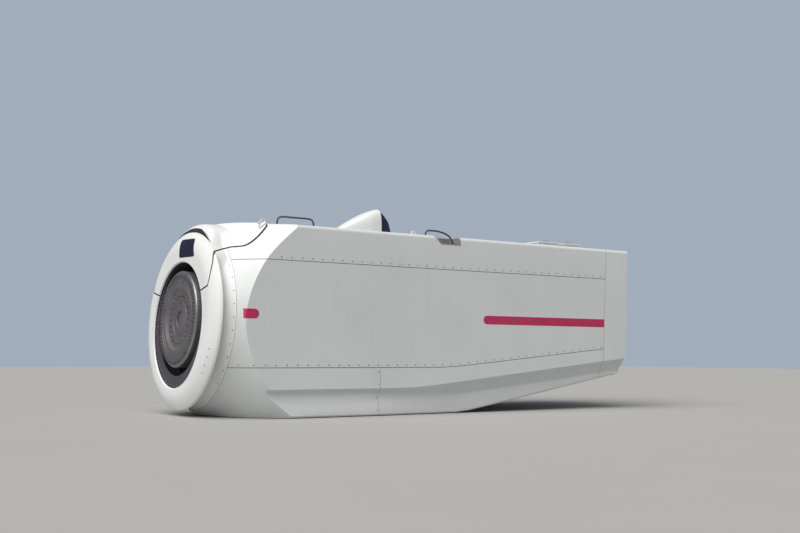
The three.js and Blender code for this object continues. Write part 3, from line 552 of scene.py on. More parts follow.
def worn_paint(name, colour, roughness, metallic, wear=0.8, grain=16.0, depth=0.001):
    """Painted or bare metal, or rubber, with clouded tone, scuffs and a fine grain."""
    paint = Paint(name, colour, roughness, metallic)
    clouds = paint.noise(2.5, 6.0)
    scuffs = paint.noise(grain, 8.0, (1.0, 1.0, 1.0), 0.65)
    tone = paint.blend(paint.mask(clouds, 0.3, 0.7), colour, tinted(colour, wear))
    tone = paint.blend(paint.mask(scuffs, 0.55, 0.72, 0.7), tone, tinted(colour, 1.35))
    paint.surface("Base Color", tone)
    paint.rough(scuffs, max(roughness - 0.12, 0.08), min(roughness + 0.15, 1.0))
    paint.bump(scuffs, depth, 0.6)
    return paint.material


finishes = {}


def coat(piece, name):
    """Gives every face of a piece one finish."""
    piece.data.materials.clear()
    piece.data.materials.append(finishes[name])


def place(piece):
    """Brings a mesh from stations along the nacelle into the frame."""
    piece.data.transform(Matrix.Translation(ORIGIN))
    return piece


def dress(piece, body="housing", replaces=(), angle=28):
    """Gives a piece its body and the solids that it stands for."""
    piece.data.polygons.foreach_set("use_smooth", [True] * len(piece.data.polygons))
    piece.data.set_sharp_from_angle(angle=math.radians(angle))
    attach(piece, body)
    if replaces:
        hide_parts(*replaces)


def dress_whole(piece, slot, body="housing", replaces=(), angle=28):
    """Dresses a piece that has the finish of its slot all over."""
    coat(piece, slot)
    dress(piece, body, replaces, angle)


class NACELLE_OT_finishes(bpy.types.Operator):
    """Makes the materials and gives each solid of the frame its finish"""

    bl_idname = "nacelle.finishes"
    bl_label = "Finishes"

    def execute(self, context):
        tone = context.scene.nacelle_colours
        finishes["white_gelcoat"] = gelcoat("white_gelcoat", tuple(tone.shell))
        finishes["nose_gelcoat"] = gelcoat("nose_gelcoat", tuple(tone.nose))
        for name, colour, roughness, metallic, *grain in (
            ("stripe_paint", tuple(tone.stripe), 0.42, 0.0, 0.93, 9.0, 0.0002),
            ("dark_grille", tuple(tone.grille), 0.55, 0.2, 0.75, 24.0),
            ("flange_steel", tuple(tone.steel), 0.5, 0.6, 0.7, 14.0),
            ("bare_steel", (0.34, 0.34, 0.35), 0.35, 0.9, 0.8, 40.0),
            ("bolt_steel", (0.2, 0.2, 0.205), 0.5, 0.6, 0.8, 40.0),
            ("galvanised_steel", (0.42, 0.43, 0.44), 0.45, 0.7, 0.85, 30.0),
            ("casting_paint", (0.1, 0.1, 0.115), 0.65, 0.1, 0.8, 12.0, 0.004),
            ("tray_lining", (0.3, 0.29, 0.31), 0.6, 0.2, 0.8, 20.0),
            ("rail_paint", (0.09, 0.085, 0.1), 0.45, 0.4, 0.8, 30.0),
            ("lug_paint", (0.75, 0.74, 0.74), 0.5, 0.0, 0.85, 18.0),
            ("seal_rubber", (0.06, 0.055, 0.07), 0.8, 0.0),
            ("seam_sealant", (0.16, 0.16, 0.17), 0.85, 0.0),
            # Near-black paint that stands for the shade in the brow slot and on the wall of the collar's
            # opening: painted shade.
            ("gap_lining", (0.03, 0.027, 0.045), 0.8, 0.0),
        ):
            finishes[name] = worn_paint(name, colour, roughness, metallic, *grain)
        for node in frame["nodes"].values():
            for i, material in enumerate(node.data.materials):
                node.material_slots[i].material = finishes[material.name.split(".")[0]]
        return {"FINISHED"}


# Solid forms of the body and the collar, moved inwards by an inset


def body_section(x, inset):
    """One cross-section of the body, as (y, z) points of the right side from the keel to the roof."""
    half = HALF_WIDTH - inset
    top = BODY_HEIGHT - inset
    edge, keel_edge = (max(size - inset, SHARPEST_EDGE) for size in (ROOF_EDGE, KEEL_EDGE))
    undercut = smoothstep(x, UNDERCUT["start"], UNDERCUT["start"] + UNDERCUT["run"])
    rear = smoothstep(x, *UNDERCUT["change"])
    ledge = rise(LEDGE, x) + inset / 2
    lip = rise(LIP, x)
    lip_in = undercut * mix(UNDERCUT["front"], UNDERCUT["rear"], rear)
    keel_in = undercut * mix(UNDERCUT["keel"] * UNDERCUT["front"], UNDERCUT["rear"], rear)
    foot = min(rise(KEEL, x) + inset, lip - 2 * keel_edge)
    points = [(half - keel_in - keel_edge, foot)]
    points += arc((half - keel_in - keel_edge, foot + keel_edge), keel_edge, -90, 0, 5)
    # The cove: a soft hollow under the front ledge that sharpens to a crease towards the tail
    softness = mix(COVE["soft"], COVE["crisp"], smoothstep(x, *COVE["change"]))
    start = Vector((half - keel_in, foot + keel_edge * 1.5))
    turn = Vector((half - lip_in, mix(ledge - COVE["below"], lip, smoothstep(x, *COVE["drop"]))))
    end = Vector((half, ledge))
    points += bent(turn.lerp(start, softness), turn, turn.lerp(end, min(softness, COVE["widest"])), 10)
    points.append((half - LEDGE["arris"] * undercut, ledge - LEDGE["arris"]))
    points += [(half, ledge), (half, mix(ledge, top, 0.5))]
    points += arc((half - edge, top - edge), edge, 0, 90, 8)
    crown_steps = 12
    for i in range(1, crown_steps + 1):
        y = mix(half - edge, 0, i / crown_steps)
        points.append((y, roof_at(y, crown_at(x)) - inset))
    return points


def body_ring(x, inset):
    right = body_section(x, inset)
    left = [(-y, z) for y, z in reversed(right[:-1])]
    return [(x, y, z) for y, z in right + left]


def soft_corner(line, x):
    """A corner of a given width between a level line and a rising one."""
    return line["slope"] * line["width"] * math.log(1 + math.exp(min((x - line["at"]) / line["width"], 300)))


def fairing_radius(x, angle):
    """Radius at a place behind the collar: a cone, filled up near the top, with a brow at the top."""
    away = abs((math.degrees(angle) + 90) % 360 - 180)
    filled = 1 - smoothstep(away, SHOULDER["full"], SHOULDER["end"])
    cone = FAIRING["radius"] + FAIRING["slope"] * x - soft_corner(EASE, x)
    base = cone + filled * max(SHOULDER["radius"] - cone, 0)
    if x < BROW["front"]:
        return base
    share = 1 - smoothstep(away, BROW["full"], BROW["end"])
    brow = BROW["roof"] - (BROW["roof"] - BROW["radius"]) * math.exp((BROW["front"] - x) / BROW["run"])
    return base + share * max(brow - base, 0)


def fairing_ring(x, inset):
    """One ring of the fairing: it leans with the shaft at the collar, and stands upright further back."""
    settled = smoothstep(x, 0, FAIRING["settle"])
    height = mix(RIM["height"] - x * math.tan(SHAFT_TILT), FAIRING["height"], settled)
    lean = math.tan(SHAFT_TILT) * (1 - settled)
    widen = mix(RIM["widen"], 1, settled)
    ring = []
    for i in range(FAIRING["steps"]):
        angle = 2 * math.pi * i / FAIRING["steps"]
        radius = fairing_radius(x, angle) - inset
        up = radius * math.sin(angle)
        ring.append((x + inset + up * lean, widen * radius * math.cos(angle), height + up))
    return ring


def fairing_form(inset):
    """The round form that takes the box-shaped body down to the collar."""
    stations = [0.0, BROW["front"] - 0.001, BROW["front"], 0.08, 0.1, 0.12, 0.14]
    stations += [0.16 + 0.03 * i for i in range(32)]
    stations += [1.15 + 0.1 * i for i in range(13)]
    stations.append(BODY_LENGTH + 0.9)
    return loft("fairing", [fairing_ring(x, inset) for x in stations])


def body_form(inset):
    """The whole body without the collar."""
    stations = [BODY_START, UNDERCUT["start"]]
    stations += [UNDERCUT["start"] + UNDERCUT["run"] * share for share in (0.2, 0.4, 0.6, 0.8, 1.0)]
    stations += [COVER["back"], COVER["back"] + 0.015]
    stations += [1.6 + 0.4 * i for i in range(27)]
    form = loft("form", [body_ring(x, inset) for x in stations])
    common(form, fairing_form(inset))
    heel = tail_face_at(TAIL_HEEL) - inset
    outline = [(BODY_START, TAIL_FOOT[0][1])]
    outline += [(heel - ahead, z) for ahead, z in TAIL_FOOT]
    outline += [
        (heel, TAIL_HEEL), (tail_face_at(FAR_ABOVE) - inset, FAR_ABOVE), (BODY_START, FAR_ABOVE),
    ]
    return common(form, plate_xz("tail", outline))


def collar(inset):
    """The thick disc about the shaft with its domed face."""
    front = RIM["front"] + inset
    outer = RIM["radius"] - inset
    dome_steps = 14
    profile = [(front, RIM["flat"])]
    for i in range(1, dome_steps + 1):
        t = i / dome_steps
        radius = mix(RIM["flat"], outer - RIM["shoulder"], t)
        profile.append((front + RIM["dome"] * t ** RIM["swell"], radius))
    profile += arc((front + RIM["dome"] + RIM["edge"], outer - RIM["edge"]), RIM["edge"], 145, 90, 6)
    profile += [(RIM_BACK["start"], outer), (RIM_BACK["end"], RIM_BACK["radius"])]
    return turned("collar", profile, RIM["steps"], RIM["height"], RIM["widen"])


# Openings of the collar


def through_collar(name, profile):
    return turned(name, [*profile, (OPENING["end"], profile[-1][1])], OPENING["steps"], OPENING["height"])


def collar_opening():
    """The way through the collar, with its rounded lead-in."""
    lead = OPENING["lead"]
    radius = OPENING["radius"]
    profile = [(FAR_FRONT, radius + lead + 0.02)]
    for angle in (1.57, 1.2, 0.8, 0.4, 0.0):
        profile.append(
            (RIM["front"] + lead - lead * math.sin(angle), radius + lead - lead * math.cos(angle)))
    return through_collar("collar_opening", profile)


def tunnel():
    """The wall of the opening behind its lead-in, which gets a dark painted shade."""
    return through_collar("tunnel", [(RIM["front"] + OPENING["lead"] + 0.006, OPENING["radius"] + PANEL_GAP)])


def brow_gap():
    """The slot behind the collar's edge, under the brow; its walls get a dark painted shade."""
    start, end, low = BROW_GAP["start"], BROW_GAP["end"], BROW_GAP["floor"]
    rings = []
    for i in range(BROW_GAP["steps"] + 1):
        away = mix(-BROW_GAP["far"], BROW_GAP["near"], i / BROW_GAP["steps"])
        angle = math.radians(90 + away)
        lowered = smoothstep(away, BROW_GAP["full"], BROW_GAP["near"])
        high = mix(BROW_GAP["reach"], BROW_GAP["last"], lowered)
        rings.append([
            tilted(distance, radius * math.cos(angle), radius * math.sin(angle), RIM["height"])
            for distance, radius in ((start, low), (end, low), (end, high), (start, high))])
    return loft("brow_gap", rings)


def inlet_outline(shrink=0.0):
    """The inlet's four sides with rounded corners, made smaller on every side by a distance."""
    middle = (INLET["low"] + INLET["high"]) / 2
    corners = []
    for y, z in INLET_CORNERS:
        corners.append(Vector((
            y - math.copysign(shrink, y - INLET["y"]),
            z - math.copysign(shrink, z - middle),
        )))
    points = []
    for i, corner in enumerate(corners):
        before = corners[i - 1]
        after = corners[(i + 1) % len(corners)]
        start = corner.lerp(before, INLET["corner"] / (before - corner).length)
        end = corner.lerp(after, INLET["corner"] / (after - corner).length)
        points += bent(start, corner, end, 6)
    return points


# Regions of the housing: each is a solid, grown on every side by a distance


def above_upper_seam(grow):
    return zone(z0=UPPER_SEAM - grow)


def below_lower_seam(grow):
    outline = [(FAR_FRONT, FAR_BELOW), (FAR_BACK, FAR_BELOW)]
    for x in (FAR_BACK, 10, 8, 7, 6.6, 6.2, 5.9, 5.6, 5.4, 5.2, 5.0, FAR_FRONT):
        outline.append((x, rise(LOWER_SEAM, x) + grow))
    return plate_xz("region", outline)


def slanted(low, high):
    """A region between a (front, back) pair of stations at the bottom and another at the top."""
    return plate_xz("region", [
        (low[0], FAR_BELOW), (low[1], FAR_BELOW), (high[1], FAR_ABOVE), (high[0], FAR_ABOVE)])


def before_nose_seam(grow):
    return slanted(*((FAR_FRONT, nose_seam_at(z) + grow) for z in (FAR_BELOW, FAR_ABOVE)))


def behind_tail_seam(grow):
    return slanted(*((tail_seam_at(z) - grow, FAR_BACK) for z in (FAR_BELOW, FAR_ABOVE)))


def rear_lower_panels(grow):
    return zone(x0=LOWER_PANEL_SEAM - grow)


def floor_zone(grow):
    half = FLOOR_HALF_WIDTH + grow
    return zone(y0=-half, y1=half, z1=LOWER_SEAM["height"])


def left_half(grow):
    return zone(y1=grow)


def ramp_zone(grow):
    return zone(x0=KEEL["start"] - KEEL["bend"] - grow)


def top_cover(grow):
    """A saddle over the nose whose seam sweeps up to the roof, joined to the collar's upper part."""
    a = Vector((COVER["sweep"], COVER["high"] + 0.015))
    b = Vector((COVER["sweep"] + 0.15, COVER["high"] + 0.045))
    c = Vector((COVER["back"], BODY_HEIGHT - 0.01))
    outline = [
        (FAR_FRONT, COVER["shelf"] - grow), (COVER["front"], COVER["shelf"] - grow),
        (COVER["step"], COVER["high"] - grow),
    ]
    steps = 12
    for i, (x, z) in enumerate(bent(a, b, c, steps)):
        along = (b.lerp(c, i / steps) - a.lerp(b, i / steps)).normalized()
        outline.append((x + grow * along.y, z - grow * along.x))
    outline += [(COVER["back"] + grow, FAR_ABOVE), (FAR_FRONT, FAR_ABOVE)]
    saddle = plate_xz("region", outline)
    low_end = len(COVER_SIDES) - 2
    right = [(y + grow, z if i < low_end else z - grow) for i, (y, z) in enumerate(COVER_SIDES)][::-1]
    right.append((right[-1][0], right[-1][1] + COVER["overlap"]))
    left = [(-y, z) for y, z in reversed(right)]
    return join(saddle, plate_yz("collar_part", right + left, FAR_FRONT, COVER["front"] + grow))


def seam(region, share=1.0):
    """A thin slab on each side of a region's border, as wide as a share of the usual seam."""
    half = share * sizes().seam_width / 2
    return cut(region(half), region(-half))


# The housing


def tray_outline():
    floor = BODY_HEIGHT - TRAY["depth"]
    return [
        (TRAY["start"], BODY_HEIGHT), (TRAY["start"] + TRAY["slant"], floor), (TRAY["end"], floor),
        (TRAY["end"], FAR_ABOVE), (TRAY["start"], FAR_ABOVE),
    ]


def tail_sheet(opening, shrink, front, back):
    """A sheet along the raked tail face, between two distances ahead of it."""
    low, high, half = (opening["low"] + shrink, opening["high"] - shrink, opening["half"] - shrink)
    outline = [
        (tail_face_at(low) - front, low), (tail_face_at(low) - back, low),
        (tail_face_at(high) - back, high), (tail_face_at(high) - front, high),
    ]
    return plate_xz("sheet", outline, -half, half)


def seam_grooves():
    """All seams as one cutter, which leaves the shell's inner part whole."""
    depth = sizes().seam_depth
    grooves = join(seam(above_upper_seam), seam(below_lower_seam))
    cut(grooves, before_nose_seam(0.0))
    cut(grooves, behind_tail_seam(0.0))
    join(grooves, seam(behind_tail_seam, 0.6))
    join(grooves, common(seam(rear_lower_panels, 0.5), below_lower_seam(0.0)))
    join(grooves, cut(seam(before_nose_seam, 0.4), top_cover(0.0)))
    join(grooves, seam(top_cover, 2.4))
    return cut(grooves, join(body_form(depth), collar(depth)))


def housing_shell():
    """The hollow shell with its seam grooves and its openings; the groove walls take sealant, the inlet walls
    grille paint, and the brow slot and the opening's wall a dark painted shade.
    """
    shell = join(body_form(0.0), collar(0.0))
    bead = plate_yz("inlet_frame", inlet_outline(-INLET["frame"]), FAR_FRONT, RIM_BACK["start"])
    join(shell, common(bead, collar(-INLET["bead"])))
    cut(shell, cut(body_form(SKIN), zone(x1=NOSE_WALL)))
    common(shell, zone(z0=0.0))
    cut(shell, upright("yaw", YAW_OPENING["at"], 0, FAR_BELOW, SKIN + 0.1, YAW_OPENING["radius"], 120))
    for _, x0, x1 in HATCHES:
        cut(shell, zone(x0, x1, *HATCH_SIDES, BODY_HEIGHT - 0.3))
    for _, side in SIDES:
        reach = sorted((side * (HALF_WIDTH - TRAY["reach"]), side * (HALF_WIDTH + 0.1)))
        cut(shell, plate_xz("tray", tray_outline(), *reach))
    coat(shell, "white_gelcoat")
    cut(shell, collar_opening())
    inlet = plate_yz("inlet", inlet_outline(), INLET["x"] - 0.1, INLET["end"])
    # Each cutter leaves its finish on the walls it cuts: sealant in the grooves, grille paint in the inlet,
    # and painted shade in the brow slot and the opening.
    for cutter, lining in (
        (seam_grooves(), "seam_sealant"), (inlet, "dark_grille"), (brow_gap(), "gap_lining"),
        (tunnel(), "gap_lining"),
    ):
        coat(cutter, lining)
        cut(shell, cutter)
    return shell


# How the shell is shared out: a part, what it is taken from, the region, and whether it lies in it
SHARES = (
    ("nose_top_cover", "shell", top_cover, True),
    ("uncovered", "shell", top_cover, False),
    ("nose", "uncovered", before_nose_seam, True),
    ("nose_lower", "nose", below_lower_seam, True),
    ("nose_sides", "nose", below_lower_seam, False),
    ("nose_left", "nose_sides", left_half, True),
    ("nose_right", "nose_sides", left_half, False),
    ("behind_nose", "uncovered", before_nose_seam, False),
    ("tail_frame", "uncovered", behind_tail_seam, True),
    ("body", "behind_nose", behind_tail_seam, False),
    ("roof_shell", "body", above_upper_seam, True),
    ("below_roof", "body", above_upper_seam, False),
    ("walls", "below_roof", below_lower_seam, False),
    ("side_left", "walls", left_half, True),
    ("side_right", "walls", left_half, False),
    ("lower", "body", below_lower_seam, True),
    ("floor", "lower", floor_zone, True),
    ("floor_front", "floor", ramp_zone, False),
    ("floor_ramp", "floor", ramp_zone, True),
    ("lower_sides", "lower", floor_zone, False),
    ("lower_front", "lower_sides", rear_lower_panels, False),
    ("lower_front_left", "lower_front", left_half, True),
    ("lower_front_right", "lower_front", left_half, False),
    ("lower_rear", "lower_sides", rear_lower_panels, True),
    ("lower_rear_left", "lower_rear", left_half, True),
    ("lower_rear_right", "lower_rear", left_half, False),
)


class NACELLE_OT_housing(bpy.types.Operator):
    """Builds the smooth panels of the housing, shared out along their seams"""

    bl_idname = "nacelle.housing"
    bl_label = "Housing panels"

    def execute(self, context):
        parts = {"shell": housing_shell()}
        for name, whole, region, within in SHARES:
            part = twin(parts[whole], f"{name}_skin")
            if within:
                parts[name] = common(part, region(-PANEL_GAP / 2))
            else:
                parts[name] = cut(part, region(PANEL_GAP / 2))
        cut(parts["tail_frame"], tail_sheet(TAIL_OPENING, 0.0, 0.3, -0.4))
        for name, part in parts.items():
            if name not in frame["nodes"]:
                discard(part)
                continue
            gelcoat_name = "nose_gelcoat" if name.startswith("nose") else "white_gelcoat"
            for i, material in enumerate(part.data.materials):
                if material == finishes["white_gelcoat"]:
                    part.data.materials[i] = finishes[gelcoat_name]
            dress(place(part), replaces=(name,))
        return {"FINISHED"}


# Side stripes


def stripe_outline(x0, x1, round_low, round_high):
    """A bar whose ends may be round, as (x, z) points."""
    low, high = sizes().stripe_low, sizes().stripe_high
    radius = (high - low) / 2
    middle = (high + low) / 2
    outline = [(x1, low), (x1, high)]
    if round_high:
        outline = arc((x1 - radius, middle), radius, -90, 90, 16)
    if round_low:
        return outline + arc((x0 + radius, middle), radius, 90, 270, 16)
    return outline + [(x0, high), (x0, low)]


class NACELLE_OT_stripes(bpy.types.Operator):
    """Lays the two painted bars on each side of the housing"""

    bl_idname = "nacelle.stripes"
    bl_label = "Side stripes"

    def execute(self, context):
        film, body = body_form(-PAINT_FILM), body_form(0.0)
        for name, side in SIDES:
            reach = sorted((side * (HALF_WIDTH - 0.6), side * (HALF_WIDTH + 0.2)))
            for kind, *ends in STRIPES:
                bar = plate_xz(f"stripe_{kind}_{name}", stripe_outline(*ends), *reach)
                common(bar, film, keep=True)
                cut(bar, body, keep=True)
                coat(bar, "stripe_paint")
                dress(place(bar))
        discard(film)
        discard(body)
        return {"FINISHED"}


# Repeated parts, by geometry nodes


def node_group(name, entries):
    """A geometry node group with a mesh entry, further named ones, a material and a mesh result."""
    group = bpy.data.node_groups.new(name, "GeometryNodeTree")
    group.interface.new_socket("Parts", in_out="OUTPUT", socket_type="NodeSocketGeometry")
    for entry, kind in (("Carrier", "Geometry"), *entries, ("Material", "Material")):
        group.interface.new_socket(entry, in_out="INPUT", socket_type=f"NodeSocket{kind}")
    return group, group.nodes.new("NodeGroupInput").outputs


def finish_group(group, parts, material):
    """Realizes the instances and gives them the material of the group's entry."""
    real = add_node(group, "GeometryNodeRealizeInstances", {"Geometry": parts})
    painted = add_node(group, "GeometryNodeSetMaterial", {
        "Geometry": real.outputs["Geometry"], "Material": material})
    add_node(group, "NodeGroupOutput", {"Parts": painted.outputs["Geometry"]})
    return group


def bolt_group():
    """A washer with a six-sided head at each point of the carrier, standing along its facing."""
    group, given = node_group("bolts", (
        ("Washer radius", "Float"), ("Head radius", "Float"), ("Height", "Float")))
    bolt = group.nodes.new("GeometryNodeJoinGeometry")
    for radius, corners, share in (("Washer radius", 20, 0.35), ("Head radius", 6, 1.0)):
        height = add_node(group, "ShaderNodeMath", {0: given["Height"], 1: share}, operation="MULTIPLY")
        half = add_node(group, "ShaderNodeMath", {0: height.outputs[0], 1: 0.5}, operation="MULTIPLY")
        lift = add_node(group, "ShaderNodeCombineXYZ", {"Z": half.outputs[0]})
        disc = add_node(group, "GeometryNodeMeshCylinder", {
            "Vertices": corners, "Radius": given[radius], "Depth": height.outputs[0]})
        moved = add_node(group, "GeometryNodeTransform", {
            "Geometry": disc.outputs["Mesh"], "Translation": lift.outputs["Vector"]})
        group.links.new(moved.outputs["Geometry"], bolt.inputs["Geometry"])
    facing = add_node(group, "GeometryNodeInputNamedAttribute", {"Name": "facing"}, data_type="FLOAT_VECTOR")
    turn = add_node(
        group, "FunctionNodeAlignRotationToVector", {"Vector": facing.outputs["Attribute"]}, axis="Z")
    spread = add_node(group, "GeometryNodeInstanceOnPoints", {
        "Points": given["Carrier"], "Instance": bolt.outputs["Geometry"],
        "Rotation": turn.outputs["Rotation"]})
    return finish_group(group, spread.outputs["Instances"], given["Material"])


def slat_group():
    """A row of equal bars, each turned about the width."""
    group, given = node_group("slats", (
        ("Count", "Int"), ("Start", "Vector"), ("Step", "Vector"), ("Size", "Vector"), ("Turn", "Vector")))
    row = add_node(group, "GeometryNodeMeshLine", {
        "Count": given["Count"], "Start Location": given["Start"], "Offset": given["Step"]}, mode="OFFSET")
    bar = add_node(group, "GeometryNodeMeshCube", {"Size": given["Size"]})
    spread = add_node(group, "GeometryNodeInstanceOnPoints", {
        "Points": row.outputs["Mesh"], "Instance": bar.outputs["Mesh"], "Rotation": given["Turn"]})
    return finish_group(group, spread.outputs["Instances"], given["Material"])


def grown(carrier, group, values):
    """Runs a node group on a carrier and keeps the result as its plain mesh."""
    step = carrier.modifiers.new(group.name, "NODES")
    step.node_group = group
    for entry in group.interface.items_tree:
        if entry.in_out == "INPUT" and entry.name in values:
            step[entry.identifier] = values[entry.name]
    return outward(bake(carrier))


def bolt_row(name, seats, washer, head, height, finish):
    """Bolts at (place, facing) seats."""
    carrier = mesh_object(name, [spot for spot, _ in seats], [])
    facing = carrier.data.attributes.new("facing", "FLOAT_VECTOR", "POINT")
    for i, (_, direction) in enumerate(seats):
        facing.data[i].vector = direction
    return grown(carrier, bpy.data.node_groups.get("bolts") or bolt_group(), {
        "Washer radius": washer, "Head radius": head, "Height": height, "Material": finishes[finish]})


def slats(name, count, start, step, size, turn, finish="dark_grille"):
    """Bars of one size in a row, from a first place on by equal steps."""
    carrier = mesh_object(name, [(0, 0, 0)], [])
    return grown(carrier, bpy.data.node_groups.get("slats") or slat_group(), {
        "Count": count, "Start": start, "Step": step, "Size": size, "Turn": (0.0, turn, 0.0),
        "Material": finishes[finish]})


# Bolts along the seams


def skin_tree():
    """A search tree over the faces of the placed panels."""
    points = []
    faces = []
    for piece in bpy.data.objects:
        if not piece.name.endswith("_skin"):
            continue
        first = len(points)
        points += [vertex.co.copy() for vertex in piece.data.vertices]
        faces += [[first + i for i in face.vertices] for face in piece.data.polygons]
    return BVHTree.FromPolygons(points, faces)


def spaced(start, end, pitch):
    """Even places from a start to an end, about a pitch apart."""
    count = max(round((end - start) / pitch), 1)
    return [mix(start, end, i / count) for i in range(count + 1)]


def seam_spots():
    """The (x, z) spots of the bolts on one side."""
    upper, lower, nose, panel = UPPER_BOLTS, LOWER_BOLTS, NOSE_BOLTS, PANEL_BOLTS
    pitch = sizes().bolt_pitch
    spots = [(x, UPPER_SEAM + upper["above"]) for x in spaced(upper["start"], upper["end"], pitch)]
    for x in spaced(lower["start"], lower["end"], pitch):
        spots.append((x, rise(LOWER_SEAM, x) + lower["above"]))
    for z in spaced(nose["low"], nose["high"], nose["pitch"]):
        spots.append((nose_seam_at(z) - nose["ahead"], z))
    return spots + [(LOWER_PANEL_SEAM - panel["ahead"], z) for z in panel["heights"]]


def collar_spots():
    """The (y, z) spots of the bolts on the right of the collar's face."""
    reach = COLLAR_BOLTS["radius"]
    turns = [math.radians(angle) for angle in COLLAR_BOLTS["angles"]]
    return [(RIM["widen"] * reach * math.cos(turn), RIM["height"] + reach * math.sin(turn)) for turn in turns]


class NACELLE_OT_bolts(bpy.types.Operator):
    """Sets the bolts along the seams of the housing and round its tail panel"""

    bl_idname = "nacelle.bolts"
    bl_label = "Seam bolts"

    def execute(self, context):
        tree = skin_tree()
        seats = []
        for _, side in SIDES:
            rays = [(Vector((x, side * FAR_SIDE, z)), Vector((0, -side, 0))) for x, z in seam_spots()]
            rays += [(Vector((FAR_FRONT, side * y, z)), Vector((1, 0, 0))) for y, z in collar_spots()]
            for start, direction in rays:
                spot, normal, _, _ = tree.ray_cast(start + ORIGIN, direction)
                if spot is not None and abs(normal.dot(direction)) >= BOLT["steepest"]:
                    seats.append((spot - BOLT["sunk"] * normal, normal))
        radius = sizes().bolt_radius
        bolts = bolt_row("seam_bolts", seats, radius, BOLT["head"] * radius, BOLT["height"], "bolt_steel")
        dress(bolts)

        pitch = TAIL_BOLTS["pitch"]
        low, high, half = (TAIL_OPENING[key] for key in ("low", "high", "half"))
        border, edge = TAIL_BOLTS["border"], half - TAIL_BOLTS["border"]
        spots = [(y, z) for z in (low + border, high - border) for y in spaced(-edge, edge, pitch)]
        spots += [(y, z) for y in (-edge, edge) for z in spaced(low + pitch, high - pitch, pitch)]
        facing = Vector((1, 0, -TAIL_RAKE)).normalized()
        ahead = TAIL_SHEET["back"] + BOLT["sunk"]
        seats = [(Vector((tail_face_at(z) - ahead, y, z)) + ORIGIN, facing) for y, z in spots]
        head = TAIL_BOLTS["head"]
        bolts = bolt_row("tail_bolts", seats, TAIL_BOLTS["washer"], head, head, "bolt_steel")
        dress(bolts)
        return {"FINISHED"}


# Hub flange and the seal round it


def forward_seats(distance, spots, height):
    """Seats that face forward, at (y, z) spots about a leaning line."""
    facing = SHAFT_LEAN @ Vector((-1, 0, 0))
    return [(tilted(distance, y, z, height) + ORIGIN, facing) for y, z in spots]


def flange_profile():
    """The flange from its bore outwards over the recessed web, the grooved face and the rim."""
    front, back, web, radius = (FLANGE[key] for key in ("front", "back", "web", "radius"))
    recess, bore, inner = FLANGE["recess"], FLANGE["bore"], radius - FLANGE["rim"]
    groove = front + 0.006
    floor = front + 0.06
    return [
        (web - 0.03, bore - 0.01), (floor + 0.012, bore - 0.01), (floor + 0.002, bore), (floor, bore + 0.012),
        (floor, 0.36), (floor + 0.006, 0.364), (floor + 0.006, 0.376), (floor, 0.38), (floor, recess - 0.02),
        (floor - 0.005, recess - 0.004), (groove, recess + 0.052), (front, recess + 0.062),
        (front, 0.79), (groove, 0.793), (groove, 0.803), (front, 0.806),
        (front, 0.872), (groove, 0.875), (groove, 0.883), (front, 0.886),
        (front, radius - 0.034), (front + 0.003, radius - 0.028), (front + 0.026, radius - 0.003),
        (front + 0.034, radius), (back - 0.004, radius), (back, radius - 0.004), (back, inner), (web, inner),
    ]


class NACELLE_OT_flange(bpy.types.Operator):
    """Builds the machined hub flange with its studs, and the bolted seal plate round it"""

    bl_idname = "nacelle.flange"
    bl_label = "Hub flange and seal"

    def execute(self, context):
        front, radius = FLANGE["front"], FLANGE["radius"]
        flange = turned("rotor_flange_machined", flange_profile(), OPENING["steps"], AXIS_HEIGHT)
        coat(flange, "flange_steel")
        # The chamfer round the front edge gets the brighter bare steel: machined steel, and partly a painted
        # highlight along that edge.
        flange.data.materials.append(finishes["bare_steel"])
        upright_again = SHAFT_LEAN.transposed()
        for face in flange.data.polygons:
            spot = upright_again @ (face.center - Vector((0, 0, AXIS_HEIGHT)))
            reach = math.hypot(spot.y, spot.z)
            if radius - 0.032 < reach < radius + 0.01 and spot.x < front + 0.036:
                face.material_index = 1
        dress(place(flange), "rotor", ("rotor_flange",), 24)
        studs = FLANGE_STUDS
        seats = forward_seats(front + 0.002, circle(studs["count"], studs["radius"]), AXIS_HEIGHT)
        inner = circle(INNER_STUDS["count"], INNER_STUDS["radius"])
        seats += forward_seats(front + 0.062, inner, AXIS_HEIGHT)
        row = bolt_row("flange_studs", seats, studs["washer"], studs["head"], studs["height"], "bare_steel")
        dress(row, "rotor")

        start, outer, hole = SEAL["front"], OPENING["radius"] - PANEL_GAP, SEAL["inner"]
        plate = turned("nose_seal_plate", [
            (start + 0.004, outer - 0.06), (start, outer - 0.055), (start, outer - 0.004),
            (start + 0.004, outer), (start + SEAL["thickness"], outer),
        ], OPENING["steps"], OPENING["height"])
        cut(plate, turned("hole", [(-0.4, hole), (0.3, hole)], OPENING["steps"], AXIS_HEIGHT))
        dress_whole(place(plate), "seal_rubber", "housing", ("nose_seal_ring",), 24)
        off_axis = OPENING["height"] - AXIS_HEIGHT
        spots = [
            (y, z) for y, z in circle(SEAL["bolts"], outer - SEAL["border"])
            if math.hypot(y, z + off_axis) >= hole + 0.03]
        seats = forward_seats(start + 0.001, spots, OPENING["height"])
        dress(bolt_row("seal_bolts", seats, 0.013, 0.009, 0.009, "galvanised_steel"))
        return {"FINISHED"}


# Inlet in the collar and outlet in the tail


